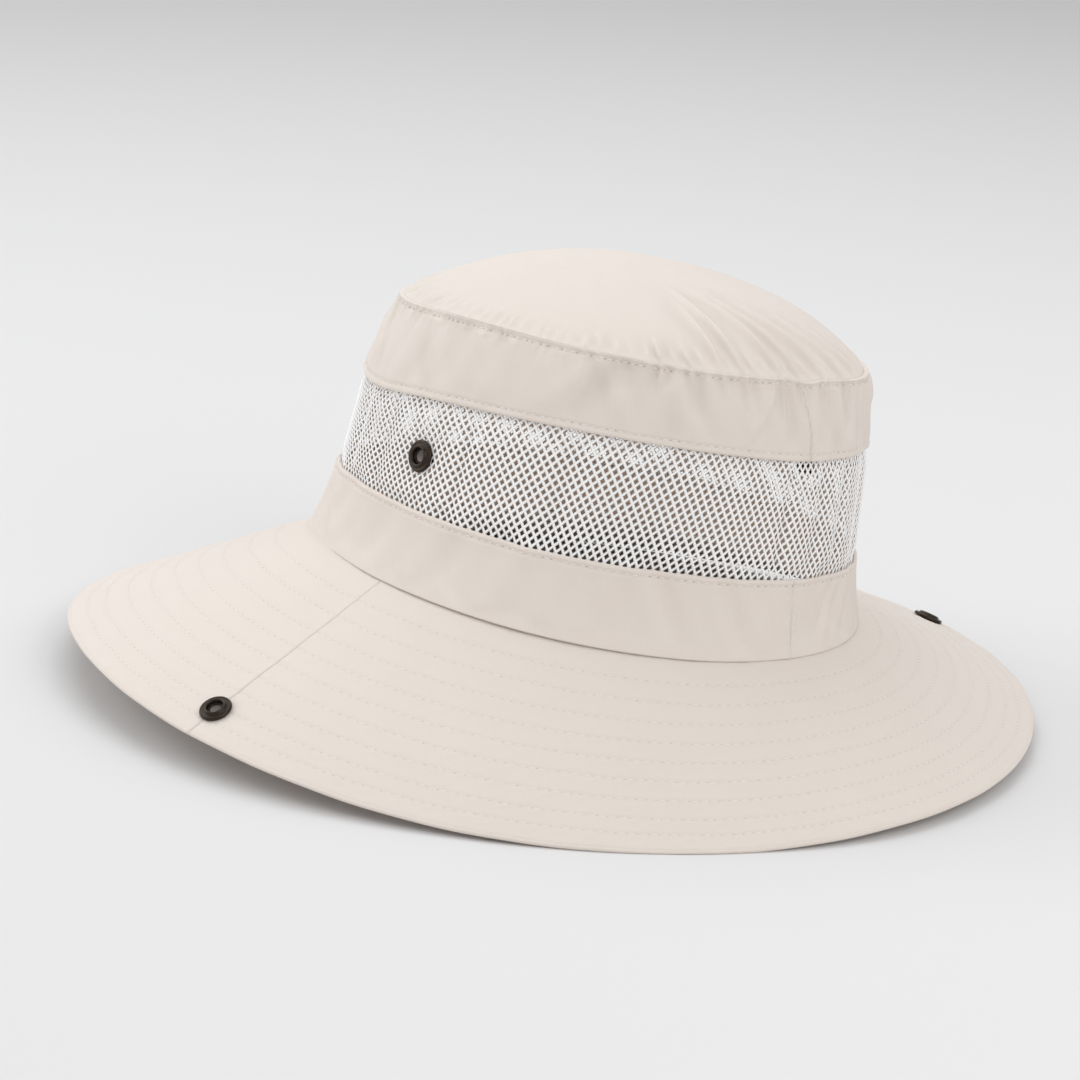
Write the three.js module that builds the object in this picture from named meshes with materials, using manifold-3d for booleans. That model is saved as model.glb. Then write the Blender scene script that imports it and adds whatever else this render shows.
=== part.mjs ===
// A wide brim sun hat of woven nylon cloth, lying on a surface as it would by itself.
// Millimetres, +Z up. The surface is z = 0, the back of the hat is towards +Y and its left side towards +X.
// A direction round the hat is an angle in degrees from +X towards +Y.
import * as THREE from "three";
import Module from "manifold-3d";

// Head size: the base of the crown is 600 mm round, for a head of about 58 cm.
// The crown's outer rings, from the brim joint up. Half sizes along Y (length) and X (width).
const CROWN_RINGS = [
  { height: 0, halfLength: 100, halfWidth: 91, shiftX: 0, shiftY: 0 }, // joint with the brim
  { height: 24.5, halfLength: 95, halfWidth: 84, shiftX: -1, shiftY: 1 }, // lower band's top edge
  { height: 61, halfLength: 91, halfWidth: 80.5, shiftX: -2, shiftY: 2.5 }, // upper band's lower edge
  { height: 88, halfLength: 84.5, halfWidth: 74, shiftX: -2.5, shiftY: 3 }, // seam round the tip
];
const [BASE, MESH_FOOT, MESH_TOP, TIP_SEAM] = CROWN_RINGS.map((ring) => ring.height);
const TIP_RISE = 21.5;
const TIP_ROUNDNESS = 2.2;

// How the crown stands: it leans to the hat's right, and the brim joint rises at the two sides.
const CROWN_X = -3.2;
const CROWN_Y = 8.7;
const BASE_HEIGHT = 39.7;
const CROWN_LEAN = -6;
const JOINT_RISE = 2.5;

// The brim, every 30 degrees from the front: its width along the cloth and how steeply it drops.
const BRIM_SECTIONS = [
  { direction: -90, width: 87, slope: 24.6 },
  { direction: -60, width: 87, slope: 22.8 },
  { direction: -30, width: 86, slope: 22 },
  { direction: 0, width: 85, slope: 27.4 },
  { direction: 30, width: 80, slope: 35 },
  { direction: 60, width: 74, slope: 35.2 },
  { direction: 90, width: 70, slope: 28 },
  { direction: 120, width: 68, slope: 24.4 },
  { direction: 150, width: 70, slope: 22.4 },
  { direction: 180, width: 74, slope: 22.2 },
  { direction: 210, width: 80, slope: 22.6 },
  { direction: 240, width: 86, slope: 22.2 },
];
const BRIM_TUCK = 2; // how far the brim's inner edge runs in under the lower band
const SIDE_SEAMS = [-1, 164.5]; // left and right

// Cloth
const CROWN_CLOTH = 1.2;
const BRIM_CLOTH = 1.6;
const MESH_CLOTH = 1;
const GAP = 0.3;
const SEAM_RIDGE = 0.5;
const SEAM_RIDGE_HEIGHT = 1.6;
const BAND_ABOVE_BRIM = 0.5;

// Gathers run both ways from the tip seam, deepest at the front and the back.
const GATHERS = 22;
const GATHER_SWAY = 0.9;
const GATHER_LEAST = 0.35;
const GATHER_MOST = 1.3;
const GATHER_BAND_REACH = 13;
const GATHER_TIP_REACH = 0.45;
const MESH_PLEATS = 18;
const MESH_PLEAT_DEPTH = 0.7;

// The net of the mesh band: full diamonds in two staggered rows, half diamonds above and below.
const NET_COLUMNS = 30;
const NET_ROWS = 3;
const NET_START = -2.5; // direction of column 0
const STUD_COLUMNS = [0, 14]; // the crown's left and right studs
const NET_SHRINK = 0.78; // a gap's size beside its cell, which leaves the strands
const NET_RIM = 3; // solid edge hidden behind each band
const NET_CLEAR = 1.2; // from a band's edge to the first gap

// A press stud's front, from its middle out
const STUD_FRONT = [
  { radius: 0, height: 0.8 }, // recessed disc
  { radius: 2.8, height: 0.8 },
  { radius: 3, height: 1.7 }, // raised lip
  { radius: 3.4, height: 2 },
  { radius: 4.1, height: 2 },
  { radius: 4.5, height: 1.4 }, // step outside the lip
  { radius: 5.2, height: 1.1 },
  { radius: 5.6, height: 0.5 }, // rolled rim
  { radius: 5.4, height: 0 },
];
const STUD_SHANK = 2;
const STUD_HOLE = 2.4;
const STUD_BACK = 4.6;
const STUD_BACK_THICK = 0.8;
const STUD_SIDES = 16;
const BRIM_STUD_FROM_EDGE = 12;

// The surface that the hat lies on
const SURFACE_ACROSS = 600;
const SURFACE_DEEP = 20;

// Fineness of the cloth's faces
const CROWN_COLUMNS = 72;
const TIP_COLUMNS = 88;
const BRIM_HALF_COLUMNS = 36;
const BRIM_ROWS = 5;
const TIP_RADII = [0, 0.35, 0.6, 0.76, 0.88, 0.95, 0.99, 1];

const COLOURS = { cloth: 0xe4dcd2, net: 0xf1efec, bronze: 0x3b322c };

const wasm = await Module();
wasm.setup();
const radians = THREE.MathUtils.degToRad;
const UP = new THREE.Vector3(0, 0, 1);

// The crown's ring at a height, as the one smooth curve through the four measured rings.
function ringValue(key, height) {
  return CROWN_RINGS.reduce((sum, ring) => {
    const others = CROWN_RINGS.filter((other) => other !== ring);
    const shares = others.map((other) => (height - other.height) / (ring.height - other.height));
    return sum + ring[key] * shares.reduce((product, share) => product * share, 1);
  }, 0);
}

// A point of the crown in its own frame, some way in from its outer face.
function crownPoint(angle, height, inset = 0) {
  return new THREE.Vector3(
    (ringValue("halfWidth", height) - inset) * Math.cos(angle) + ringValue("shiftX", height),
    (ringValue("halfLength", height) - inset) * Math.sin(angle) + ringValue("shiftY", height),
    height,
  );
}

const jointRise = (angle) => JOINT_RISE * Math.cos(2 * angle);
const frontAndBack = (angle) => Math.sin(angle) ** 2;
const fadeIn = (value) => THREE.MathUtils.smoothstep(value, 0, 1);

function gather(angle) {
  const depth = GATHER_LEAST + (GATHER_MOST - GATHER_LEAST) * frontAndBack(angle);
  return depth * Math.cos(GATHERS * angle + GATHER_SWAY * Math.sin(3 * angle));
}

function meshPleat(angle, height) {
  const share = THREE.MathUtils.clamp((height - MESH_FOOT) / (MESH_TOP - MESH_FOOT), 0, 1);
  return MESH_PLEAT_DEPTH * Math.sin(Math.PI * share) * frontAndBack(angle) * Math.cos(MESH_PLEATS * angle);
}

// The crown stands on its joint in this place.
const crown = new THREE.Group();
crown.position.set(CROWN_X, CROWN_Y, BASE_HEIGHT);
crown.rotation.y = radians(CROWN_LEAN);
crown.updateMatrix();

// The brim's width and slope in any direction, through its sections.
const brimCurve = new THREE.CatmullRomCurve3(
  BRIM_SECTIONS.map((section) => new THREE.Vector3(section.width, section.slope, 0)),
  true,
  "catmullrom",
  0.5,
);

function brimSection(angle) {
  const turns = (angle - radians(BRIM_SECTIONS[0].direction)) / (2 * Math.PI);
  const { x: width, y: slope } = brimCurve.getPoint(turns - Math.floor(turns));
  return { width, slope: radians(slope) };
}

// The brim's frame in a direction: where it starts, the way out along the cloth, and its upward normal.
function brimRay(angle) {
  const { width, slope } = brimSection(angle);
  const start = crownPoint(angle, BASE + jointRise(angle)).applyMatrix4(crown.matrix);
  const { halfLength, halfWidth } = CROWN_RINGS[0];
  const level = new THREE.Vector3(halfLength * Math.cos(angle), halfWidth * Math.sin(angle), 0).normalize();
  const out = level.clone().multiplyScalar(Math.cos(slope)).addScaledVector(UP, -Math.sin(slope));
  const normal = level.multiplyScalar(Math.sin(slope)).addScaledVector(UP, Math.cos(slope));
  return { width, start, out, normal };
}

function brimPoint(angle, along, depth) {
  const { start, out, normal } = brimRay(angle);
  return start.addScaledVector(out, along).addScaledVector(normal, -depth);
}

// A closed mesh from points and triangles, turned so that its faces point out.
function closedGeometry(points, triangles) {
  const volume = triangles.reduce(
    (sum, [a, b, c]) => sum + points[a].dot(new THREE.Vector3().crossVectors(points[b], points[c])),
    0,
  );
  const index = triangles.flatMap(([a, b, c]) => (volume > 0 ? [a, b, c] : [a, c, b]));
  const geometry = new THREE.BufferGeometry().setFromPoints(points);
  geometry.setIndex(index);
  return geometry;
}

// A wall of cloth: an outer and an inner sheet of columns by rows, joined along every edge.
// It closes on itself round the hat unless it is open, and a pole is one point in its first row.
function clothWall({ columns, rows, outer, inner, open = false, pole = false }) {
  const points = [];
  const lines = open ? columns + 1 : columns;
  const sheets = [outer, inner].map((sheet) => {
    const ids = [];
    for (let column = 0; column < lines; column += 1) {
      ids.push([]);
      for (let row = 0; row <= rows; row += 1) {
        const shared = pole && row === 0 && column > 0;
        if (!shared) points.push(sheet(column / columns, row));
        ids[column].push(shared ? ids[0][0] : points.length - 1);
      }
    }
    return ids;
  });
  const triangles = [];
  const quad = (a, b, c, d) => {
    if (a !== b && b !== c && c !== a) triangles.push([a, b, c]);
    if (a !== c && c !== d && d !== a) triangles.push([a, c, d]);
  };
  const [face, back] = sheets;
  for (let column = 0; column < columns; column += 1) {
    const next = (column + 1) % lines;
    for (let row = 0; row < rows; row += 1) {
      quad(face[column][row], face[next][row], face[next][row + 1], face[column][row + 1]);
      quad(back[column][row], back[column][row + 1], back[next][row + 1], back[next][row]);
    }
    quad(face[column][rows], face[next][rows], back[next][rows], back[column][rows]);
    if (!pole) quad(face[column][0], back[column][0], back[next][0], face[next][0]);
  }
  if (open) {
    for (let row = 0; row < rows; row += 1) {
      quad(face[0][row], face[0][row + 1], back[0][row + 1], back[0][row]);
      quad(face[columns][row], back[columns][row], back[columns][row + 1], face[columns][row + 1]);
    }
  }
  return closedGeometry(points, triangles);
}

function toSolid(geometry, matrix = new THREE.Matrix4()) {
  const placed = geometry.clone().applyMatrix4(matrix);
  return new wasm.Manifold(
    new wasm.Mesh({
      numProp: 3,
      vertProperties: new Float32Array(placed.attributes.position.array),
      triVerts: new Uint32Array(placed.index.array),
    }),
  );
}

function fromSolid(solid) {
  const { vertProperties, triVerts } = solid.getMesh();
  const geometry = new THREE.BufferGeometry();
  geometry.setAttribute("position", new THREE.BufferAttribute(vertProperties, 3));
  geometry.setIndex(new THREE.BufferAttribute(triVerts, 1));
  return geometry;
}

// A turned piece about +Z. The profile runs from the axis and back to it.
function turned(profile, sides) {
  const points = [];
  const rings = profile.map(([radius, height]) =>
    Array.from({ length: sides }, (_, side) => {
      if (radius > 0 || side === 0) {
        const angle = (2 * Math.PI * side) / sides;
        points.push(new THREE.Vector3(radius * Math.cos(angle), radius * Math.sin(angle), height));
      }
      return points.length - 1;
    }),
  );
  const triangles = [];
  for (let ring = 0; ring + 1 < rings.length; ring += 1) {
    for (let side = 0; side < sides; side += 1) {
      const next = (side + 1) % sides;
      const [a, b] = [rings[ring][side], rings[ring][next]];
      const [c, d] = [rings[ring + 1][next], rings[ring + 1][side]];
      if (a !== b) triangles.push([a, b, c]);
      if (c !== d) triangles.push([a, c, d]);
    }
  }
  return closedGeometry(points, triangles);
}

// Domed top of the crown, gathered into the seam.
function tipPanel() {
  const seam = TIP_SEAM + GAP / 2;
  const sheet = (inset) => (turn, row) => {
    const angle = 2 * Math.PI * turn;
    const radius = TIP_RADII[row];
    const rise = 1 - radius ** TIP_ROUNDNESS;
    const reach = fadeIn((radius - 1 + GATHER_TIP_REACH) / GATHER_TIP_REACH);
    const fold = gather(angle) * reach;
    const rim = crownPoint(angle, TIP_SEAM, inset - fold * radius ** 2);
    const middle = new THREE.Vector3(ringValue("shiftX", TIP_SEAM), ringValue("shiftY", TIP_SEAM), 0);
    const point = middle.lerp(rim, radius);
    point.z = seam + (TIP_RISE - inset) * rise + fold * (1 - radius ** 2);
    return point;
  };
  return clothWall({
    columns: TIP_COLUMNS,
    rows: TIP_RADII.length - 1,
    outer: sheet(0),
    inner: sheet(CROWN_CLOTH),
    pole: true,
  });
}

// Upper band: a small ridge under the tip seam, gathers below it, and an edge folded over the mesh.
function upperBand() {
  const top = TIP_SEAM - GAP / 2;
  const rows = [
    { height: top, out: 0 },
    { height: top - SEAM_RIDGE_HEIGHT / 2, out: SEAM_RIDGE },
    { height: top - SEAM_RIDGE_HEIGHT, out: 0 },
    { height: top - GATHER_BAND_REACH / 2, out: 0 },
    { height: top - GATHER_BAND_REACH, out: 0 },
    { height: MESH_TOP, out: 0 },
  ];
  const sheet = (inset) => (turn, row) => {
    const angle = 2 * Math.PI * turn;
    const { height, out } = rows[row];
    const reach = fadeIn((height - top + GATHER_BAND_REACH) / GATHER_BAND_REACH);
    return crownPoint(angle, height, inset - gather(angle) * reach - (inset ? 0 : out));
  };
  return clothWall({
    columns: CROWN_COLUMNS,
    rows: rows.length - 1,
    outer: sheet(0),
    inner: sheet(CROWN_CLOTH),
  });
}

// Lower band: its top edge folds over the mesh, and its foot is cut at the slope of the brim that it meets.
function lowerBand() {
  const steps = 4;
  const sheet = (inset) => (turn, row) => {
    const angle = 2 * Math.PI * turn;
    const meeting = brimSection(angle).slope - radians(CROWN_LEAN) * Math.cos(angle);
    const foot = BASE + BAND_ABOVE_BRIM + jointRise(angle) + inset * Math.tan(meeting);
    return crownPoint(angle, foot + ((MESH_FOOT - foot) * row) / steps, inset);
  };
  return clothWall({ columns: CROWN_COLUMNS, rows: steps, outer: sheet(0), inner: sheet(CROWN_CLOTH) });
}

const columnDirection = (column) => NET_START + (360 * column) / NET_COLUMNS;

// The mesh band's net. Its strands cross in rows of nodes, and each gap is a diamond inside four nodes,
// or a half diamond at the top and the bottom. The press studs need cloth, so their two gaps stay closed.
function netBand() {
  const foot = MESH_FOOT + NET_CLEAR;
  const head = MESH_TOP - NET_CLEAR;
  const points = [];
  const triangles = [];
  const place = (column, row, height) => {
    const angle = radians(columnDirection(column));
    const level = height ?? foot + ((head - foot) * row) / NET_ROWS;
    const inset = CROWN_CLOTH + GAP - meshPleat(angle, level);
    points.push(crownPoint(angle, level, inset), crownPoint(angle, level, inset + MESH_CLOTH));
    return points.length - 2;
  };
  // Each point has its outer copy at id and its inner copy at id + 1.
  const face = (a, b, c) => triangles.push([a, b, c], [a + 1, c + 1, b + 1]);
  const edge = (a, b) => triangles.push([a, a + 1, b + 1], [a, b + 1, b]);
  const wrap = (column) => ((column % NET_COLUMNS) + NET_COLUMNS) % NET_COLUMNS;
  const half = (row) => (row % 2 ? 0.5 : 0);

  // gaps[row][column] has the corners left, bottom, right and top of the gap on a row of nodes.
  const gaps = [];
  const side = NET_SHRINK / 2;
  const cut = (1 - NET_SHRINK) / 2;
  for (let row = 0; row <= NET_ROWS; row += 1) {
    gaps.push([]);
    for (let step = 0; step < NET_COLUMNS; step += 1) {
      const column = step + half(row);
      const bottom = row === 0 ? null : place(column, row - NET_SHRINK);
      const top = row === NET_ROWS ? null : place(column, row + NET_SHRINK);
      const level = THREE.MathUtils.clamp(row, cut, NET_ROWS - cut);
      const left = place(column - side, level);
      const right = place(column + side, level);
      gaps[row].push({ left, right, bottom, top, column, row });
    }
  }
  const gapAt = (row, column) => gaps[row][wrap(Math.round(column - half(row)))];

  // A stud sits half way up the mesh, in the lower half of a closed gap on the second inner row of nodes.
  const closed = (gap) => gap.row === NET_ROWS - 1 && STUD_COLUMNS.includes(gap.column);
  for (const gap of gaps.flat()) {
    const corners = [gap.left, gap.bottom, gap.right, gap.top].filter((corner) => corner !== null);
    if (closed(gap)) {
      face(gap.left, gap.bottom, gap.right);
      face(gap.left, gap.right, gap.top);
    } else {
      corners.forEach((corner, i) => edge(corners[(i + 1) % corners.length], corner));
    }
  }

  // Strands and crossings: each lies between the gap on its left and the gap on its right.
  for (let row = 0; row < NET_ROWS; row += 1) {
    for (const lower of gaps[row]) {
      for (const side of [-0.5, 0.5]) {
        const upper = gapAt(row + 1, lower.column + side);
        const [a, b] = side < 0 ? [lower.left, lower.top] : [lower.top, lower.right];
        const [c, d] = side < 0 ? [upper.right, upper.bottom] : [upper.bottom, upper.left];
        face(a, b, c);
        face(a, c, d);
      }
    }
  }
  for (let row = 1; row < NET_ROWS; row += 1) {
    for (const left of gaps[row]) {
      const right = gapAt(row, left.column + 1);
      const above = gapAt(row + 1, left.column + 0.5);
      const below = gapAt(row - 1, left.column + 0.5);
      face(left.right, below.top, right.left);
      face(left.right, right.left, above.bottom);
    }
  }

  // Hidden rims behind the two bands
  for (const atFoot of [true, false]) {
    const row = atFoot ? 0 : NET_ROWS;
    const height = atFoot ? MESH_FOOT - NET_RIM : MESH_TOP + NET_RIM;
    const rim = gaps[row].map((gap) => place(gap.column, row, height));
    gaps[row].forEach((gap, column) => {
      const next = wrap(column + 1);
      const other = gaps[row][next];
      const across = gapAt(row + (atFoot ? 1 : -1), gap.column + 0.5)[atFoot ? "bottom" : "top"];
      const add = (a, b, c) => (atFoot ? face(a, b, c) : face(a, c, b));
      add(gap.left, rim[column], gap.right);
      add(gap.right, rim[column], rim[next]);
      add(gap.right, rim[next], other.left);
      add(gap.right, other.left, across);
      if (atFoot) edge(rim[column], rim[next]);
      else edge(rim[next], rim[column]);
    });
  }
  return closedGeometry(points, triangles);
}

// One half of the brim, from one side seam to the other.
function brimHalf(from, to) {
  const seamClear = GAP / 2 / CROWN_RINGS[0].halfWidth;
  const start = radians(from) + seamClear;
  const sweep = radians(to - from) - 2 * seamClear;
  const sheet = (depth) => (turn, row) => {
    const angle = start + sweep * turn;
    const { width } = brimSection(angle);
    return brimPoint(angle, -BRIM_TUCK + ((width + BRIM_TUCK) * row) / BRIM_ROWS, depth);
  };
  return clothWall({
    columns: BRIM_HALF_COLUMNS,
    rows: BRIM_ROWS,
    outer: sheet(0),
    inner: sheet(BRIM_CLOTH),
    open: true,
  });
}

// A press stud on cloth of a given thickness: ring in front, shank through the cloth, plain disc behind.
// Its front rests at z = 0.
function pressStud(cloth) {
  const back = -cloth - 2 * GAP;
  const front = STUD_FRONT.map(({ radius, height }) => [radius, height]);
  const behind = [
    [STUD_SHANK, 0],
    [STUD_SHANK, back],
    [STUD_BACK, back],
    [STUD_BACK, back - STUD_BACK_THICK],
    [0, back - STUD_BACK_THICK],
  ];
  return turned([...front, ...behind], STUD_SIDES);
}

// The place of a stud: its point on the cloth's face and its axis along the cloth's normal.
function studPlace(point, normal) {
  const turn = new THREE.Quaternion().setFromUnitVectors(UP, normal);
  const raised = point.clone().addScaledVector(normal, GAP);
  return new THREE.Matrix4().makeRotationFromQuaternion(turn).setPosition(raised);
}

// The cloth's slope under a stud is measured between points a stud's half width to its sides.
function crownStudPlace(direction) {
  const angle = radians(direction);
  const middle = (MESH_FOOT + MESH_TOP) / 2;
  const inset = CROWN_CLOTH + GAP;
  const step = STUD_BACK / ringValue("halfLength", middle);
  const rise = crownPoint(angle, MESH_TOP, inset).sub(crownPoint(angle, MESH_FOOT, inset));
  const round = crownPoint(angle + step, middle, inset).sub(crownPoint(angle - step, middle, inset));
  return studPlace(crownPoint(angle, middle, inset), round.cross(rise).normalize());
}

function brimStudPlace(direction) {
  const angle = radians(direction);
  const along = brimSection(angle).width - BRIM_STUD_FROM_EDGE;
  const step = STUD_BACK / (ringValue("halfLength", BASE) + along);
  const round = brimPoint(angle + step, along, 0).sub(brimPoint(angle - step, along, 0));
  const normal = brimRay(angle).out.cross(round).normalize();
  return studPlace(brimPoint(angle, along, 0), normal);
}

// The hole that a stud's shank passes through, as a plug to cut with.
function shankPlug(place) {
  const reach = 2 * STUD_HOLE;
  const profile = [[0, reach], [STUD_HOLE, reach], [STUD_HOLE, -reach], [0, -reach]];
  return toSolid(turned(profile, STUD_SIDES), place);
}

function withHoles(geometry, places) {
  return fromSolid(places.reduce((solid, place) => solid.subtract(shankPlug(place)), toSolid(geometry)));
}

// The cloth that meets the surface is pressed flat on it.
function restedOnSurface(geometry) {
  const block = new THREE.BoxGeometry(SURFACE_ACROSS, SURFACE_ACROSS, SURFACE_DEEP);
  block.translate(0, 0, -SURFACE_DEEP / 2);
  return fromSolid(toSolid(geometry).subtract(toSolid(indexed(block))));
}

// A box has each corner three times; its eight corners are shared here so that it is closed.
function indexed(box) {
  const points = [];
  const { position } = box.attributes;
  const ids = Array.from({ length: position.count }, (_, i) => {
    const point = new THREE.Vector3().fromBufferAttribute(position, i);
    const known = points.findIndex((other) => other.distanceTo(point) < GAP);
    return known < 0 ? points.push(point) - 1 : known;
  });
  const triangles = [];
  for (let i = 0; i < box.index.count; i += 3) {
    triangles.push([0, 1, 2].map((k) => ids[box.index.getX(i + k)]));
  }
  return closedGeometry(points, triangles);
}

function piece(name, geometry, look) {
  const finish = {
    cloth: { color: COLOURS.cloth, roughness: 0.8, metalness: 0 },
    net: { color: COLOURS.net, roughness: 0.6, metalness: 0 },
    bronze: { color: COLOURS.bronze, roughness: 0.35, metalness: 0.85 },
  };
  const flat = geometry.toNonIndexed();
  flat.computeVertexNormals();
  const mesh = new THREE.Mesh(flat, new THREE.MeshStandardMaterial(finish[look]));
  mesh.name = name;
  return mesh;
}

const sides = ["left", "right"].map((name, i) => ({
  name,
  crownPlace: crownStudPlace(columnDirection(STUD_COLUMNS[i])),
  brimPlace: brimStudPlace(SIDE_SEAMS[i]),
}));

crown.add(
  piece("tip_panel", tipPanel(), "cloth"),
  piece("upper_band", upperBand(), "cloth"),
  piece("mesh_band", withHoles(netBand(), sides.map((side) => side.crownPlace)), "net"),
  piece("lower_band", lowerBand(), "cloth"),
);

const brim = new THREE.Group();
const halves = [
  { name: "back_brim", from: SIDE_SEAMS[0], to: SIDE_SEAMS[1] },
  { name: "front_brim", from: SIDE_SEAMS[1], to: SIDE_SEAMS[0] + 360 },
];
for (const { name, from, to } of halves) {
  const half = withHoles(brimHalf(from, to), sides.map((side) => side.brimPlace));
  brim.add(piece(name, restedOnSurface(half), "cloth"));
}

// One stud of each side on the mesh, and its mate near the brim's edge.
for (const side of sides) {
  const onMesh = piece("crown_stud_" + side.name, pressStud(MESH_CLOTH), "bronze");
  onMesh.applyMatrix4(side.crownPlace);
  crown.add(onMesh);
  const onBrim = piece("brim_stud_" + side.name, pressStud(BRIM_CLOTH), "bronze");
  onBrim.applyMatrix4(side.brimPlace);
  brim.add(onBrim);
}

const hat = new THREE.Group();
hat.add(crown, brim);

export default hat;
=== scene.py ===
# %% [markdown]
# # A wide brim sun hat
# The hat's frame comes from the CAD model: ten solids that share one body. This lesson dresses that frame
# in woven cloth, a knitted net, rows of stitches and four press studs. Each piece is modelled in mesh
# code at its own place, because every piece has to sit where the frame says.

# %% Load the frame
import math

import bmesh
import bpy
import numpy as np
from mathutils import Matrix, Vector


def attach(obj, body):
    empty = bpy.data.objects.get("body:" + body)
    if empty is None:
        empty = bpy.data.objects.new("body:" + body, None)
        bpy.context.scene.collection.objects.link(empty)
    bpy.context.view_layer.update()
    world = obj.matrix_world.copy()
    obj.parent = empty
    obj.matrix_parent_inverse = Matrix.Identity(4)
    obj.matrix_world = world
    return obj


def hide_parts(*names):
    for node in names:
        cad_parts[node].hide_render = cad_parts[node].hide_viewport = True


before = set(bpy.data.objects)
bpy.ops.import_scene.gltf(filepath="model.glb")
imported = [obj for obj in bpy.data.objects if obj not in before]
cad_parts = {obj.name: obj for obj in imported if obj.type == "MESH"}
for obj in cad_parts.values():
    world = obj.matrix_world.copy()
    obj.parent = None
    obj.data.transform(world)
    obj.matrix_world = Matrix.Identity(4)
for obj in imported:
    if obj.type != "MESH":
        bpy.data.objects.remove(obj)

MM = 0.001
scene = bpy.context.scene
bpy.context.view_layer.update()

# %% [markdown]
# ## The camera
# The picture looks at the hat's left and back from a little above, with a long lens that keeps the brim's
# ellipse calm. A camera can be placed by hand or with a Track To constraint. Here its three axes are
# worked out from an azimuth, an elevation and a small roll, because those are the numbers that an angle
# of view has.

# %% The camera at the photograph's angle
CAMERA_AT = Vector((779.3, 792.6, 378.3))
CAMERA_AZIMUTH = math.radians(45.8)
CAMERA_ELEVATION = math.radians(16.5)
CAMERA_ROLL = math.radians(4.07)
LENS = 112.6

back = Vector((
    math.cos(CAMERA_AZIMUTH) * math.cos(CAMERA_ELEVATION),
    math.sin(CAMERA_AZIMUTH) * math.cos(CAMERA_ELEVATION),
    math.sin(CAMERA_ELEVATION),
))
level = Vector((-math.sin(CAMERA_AZIMUTH), math.cos(CAMERA_AZIMUTH), 0))
turn_to_view = Matrix((level, back.cross(level), back)).transposed()
camera = bpy.data.objects.new("camera", bpy.data.cameras.new("camera"))
camera.data.lens = LENS
camera.data.sensor_width = 36
camera.data.clip_end = 50
roll = Matrix.Rotation(CAMERA_ROLL, 3, "Z")
camera.matrix_world = Matrix.Translation(CAMERA_AT * MM) @ (turn_to_view @ roll).to_4x4()
scene.collection.objects.link(camera)
scene.camera = camera
print("Camera looks along", [round(-value, 3) for value in back])

# %% [markdown]
# ## The hat's shape
# A sewn hat has few straight lines, but it has clear seams: the brim joint, the two edges of the mesh
# band and the seam round the tip. Four rings stand for them, and one smooth curve through the four gives
# every ring between. Going round the hat, twelve values for each measure, one every 30 degrees from the
# front, are joined by a closed smooth curve. All lengths are in millimetres, and a point becomes metres
# only in the mesh.

# %% Values that change round the hat
FRONT = -90
STEP_ROUND = 30
BRIM_WIDTH = [87, 87, 86, 85, 80, 74, 70, 68, 70, 74, 80, 86]
BRIM_SLOPE = [24.6, 22.8, 22, 27.4, 35, 35.2, 28, 24.4, 22.4, 22.2, 22.6, 22.2]
JOINT_WANDER = [0, 0.8, 1.6, -1, -2.2, -1.2, 0.5, 0.8, 0, 0, 0, 0]
MESH_FOOT_WANDER = [0, 1.4, 2.6, 1.8, 0.3, -0.2, -0.9, -0.8, 0, 0, 0, 0]
MESH_TOP_WANDER = [0, -2, -3.2, 1, 2.7, 2.1, 0.6, 0.8, 0, 0, 0, 0]
TIP_SEAM_WANDER = [-0.7, -1.6, -0.7, 1.4, 0.8, -0.2, -0.5, -2.3, -1.3, 0, 0, -0.3]
TIP_SEAM_TUCK = [2, 3, 0.8, 0, 0, 0, 0, 0, 0, 0, 0, 0.6]
# the dip of the tip seam at the upper band's upright seam, in degrees and mm
DIP_AT = 87.6
DIP_WIDTH = 4
SEAM_DIP = 1.1


def round_hat(values, angle):
    """The smooth closed curve through twelve values, at angles in radians."""
    spot = (np.degrees(angle) - FRONT) / STEP_ROUND
    first = np.floor(spot).astype(int)
    t = spot - first
    a, b, c, d = (np.take(values, first + step, mode="wrap") for step in (-1, 0, 1, 2))
    return b + t / 2 * (c - a + t * (2 * a - 5 * b + 4 * c - d + t * (3 * (b - c) + d - a)))


print("Brim width at the back:", round(float(round_hat(BRIM_WIDTH, math.radians(90))), 1), "mm")

# %% Rings of the crown
JOINT_HALF_LENGTH = 100
JOINT_HALF_WIDTH = 91
RING_LEVELS = np.array([0, 24.5, 61, 88])
MESH_FOOT, MESH_TOP, TIP_SEAM = RING_LEVELS[1:]
RING_CURVES = {
    "length": np.polyfit(RING_LEVELS, [JOINT_HALF_LENGTH, 95, 91, 84.5], 3),
    "width": np.polyfit(RING_LEVELS, [JOINT_HALF_WIDTH, 84, 80.5, 74], 3),
    "shift_x": np.polyfit(RING_LEVELS, [0, -1, -2, -2.5], 3),
    "shift_y": np.polyfit(RING_LEVELS, [0, 1, 2.5, 3], 3),
}
JOINT_RISE = 2.5
LEAN = math.radians(6)
CROWN_STANDS_AT = (-3.2, 8.7, 39.7)


def ring(name, height):
    """One measure of the crown's outline, from the smooth curve through the four seams."""
    return np.polyval(RING_CURVES[name], height)


def wander(angle, at_level):
    """How far a seam strays from its level ring, and the cloth between two seams with it."""
    dip = SEAM_DIP * np.exp(-(((np.degrees(angle) % 360 - DIP_AT) / DIP_WIDTH) ** 2))
    strays = np.stack([
        round_hat(JOINT_WANDER, angle) + JOINT_RISE * np.cos(2 * angle),
        round_hat(MESH_FOOT_WANDER, angle),
        round_hat(MESH_TOP_WANDER, angle),
        round_hat(TIP_SEAM_WANDER, angle) - dip,
    ])
    below = np.clip(np.searchsorted(RING_LEVELS, at_level) - 1, 0, 2)
    share = (at_level - RING_LEVELS[below]) / np.diff(RING_LEVELS)[below]
    here = np.arange(len(below))
    return (1 - share) * strays[below, here] + share * strays[below + 1, here]


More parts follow.
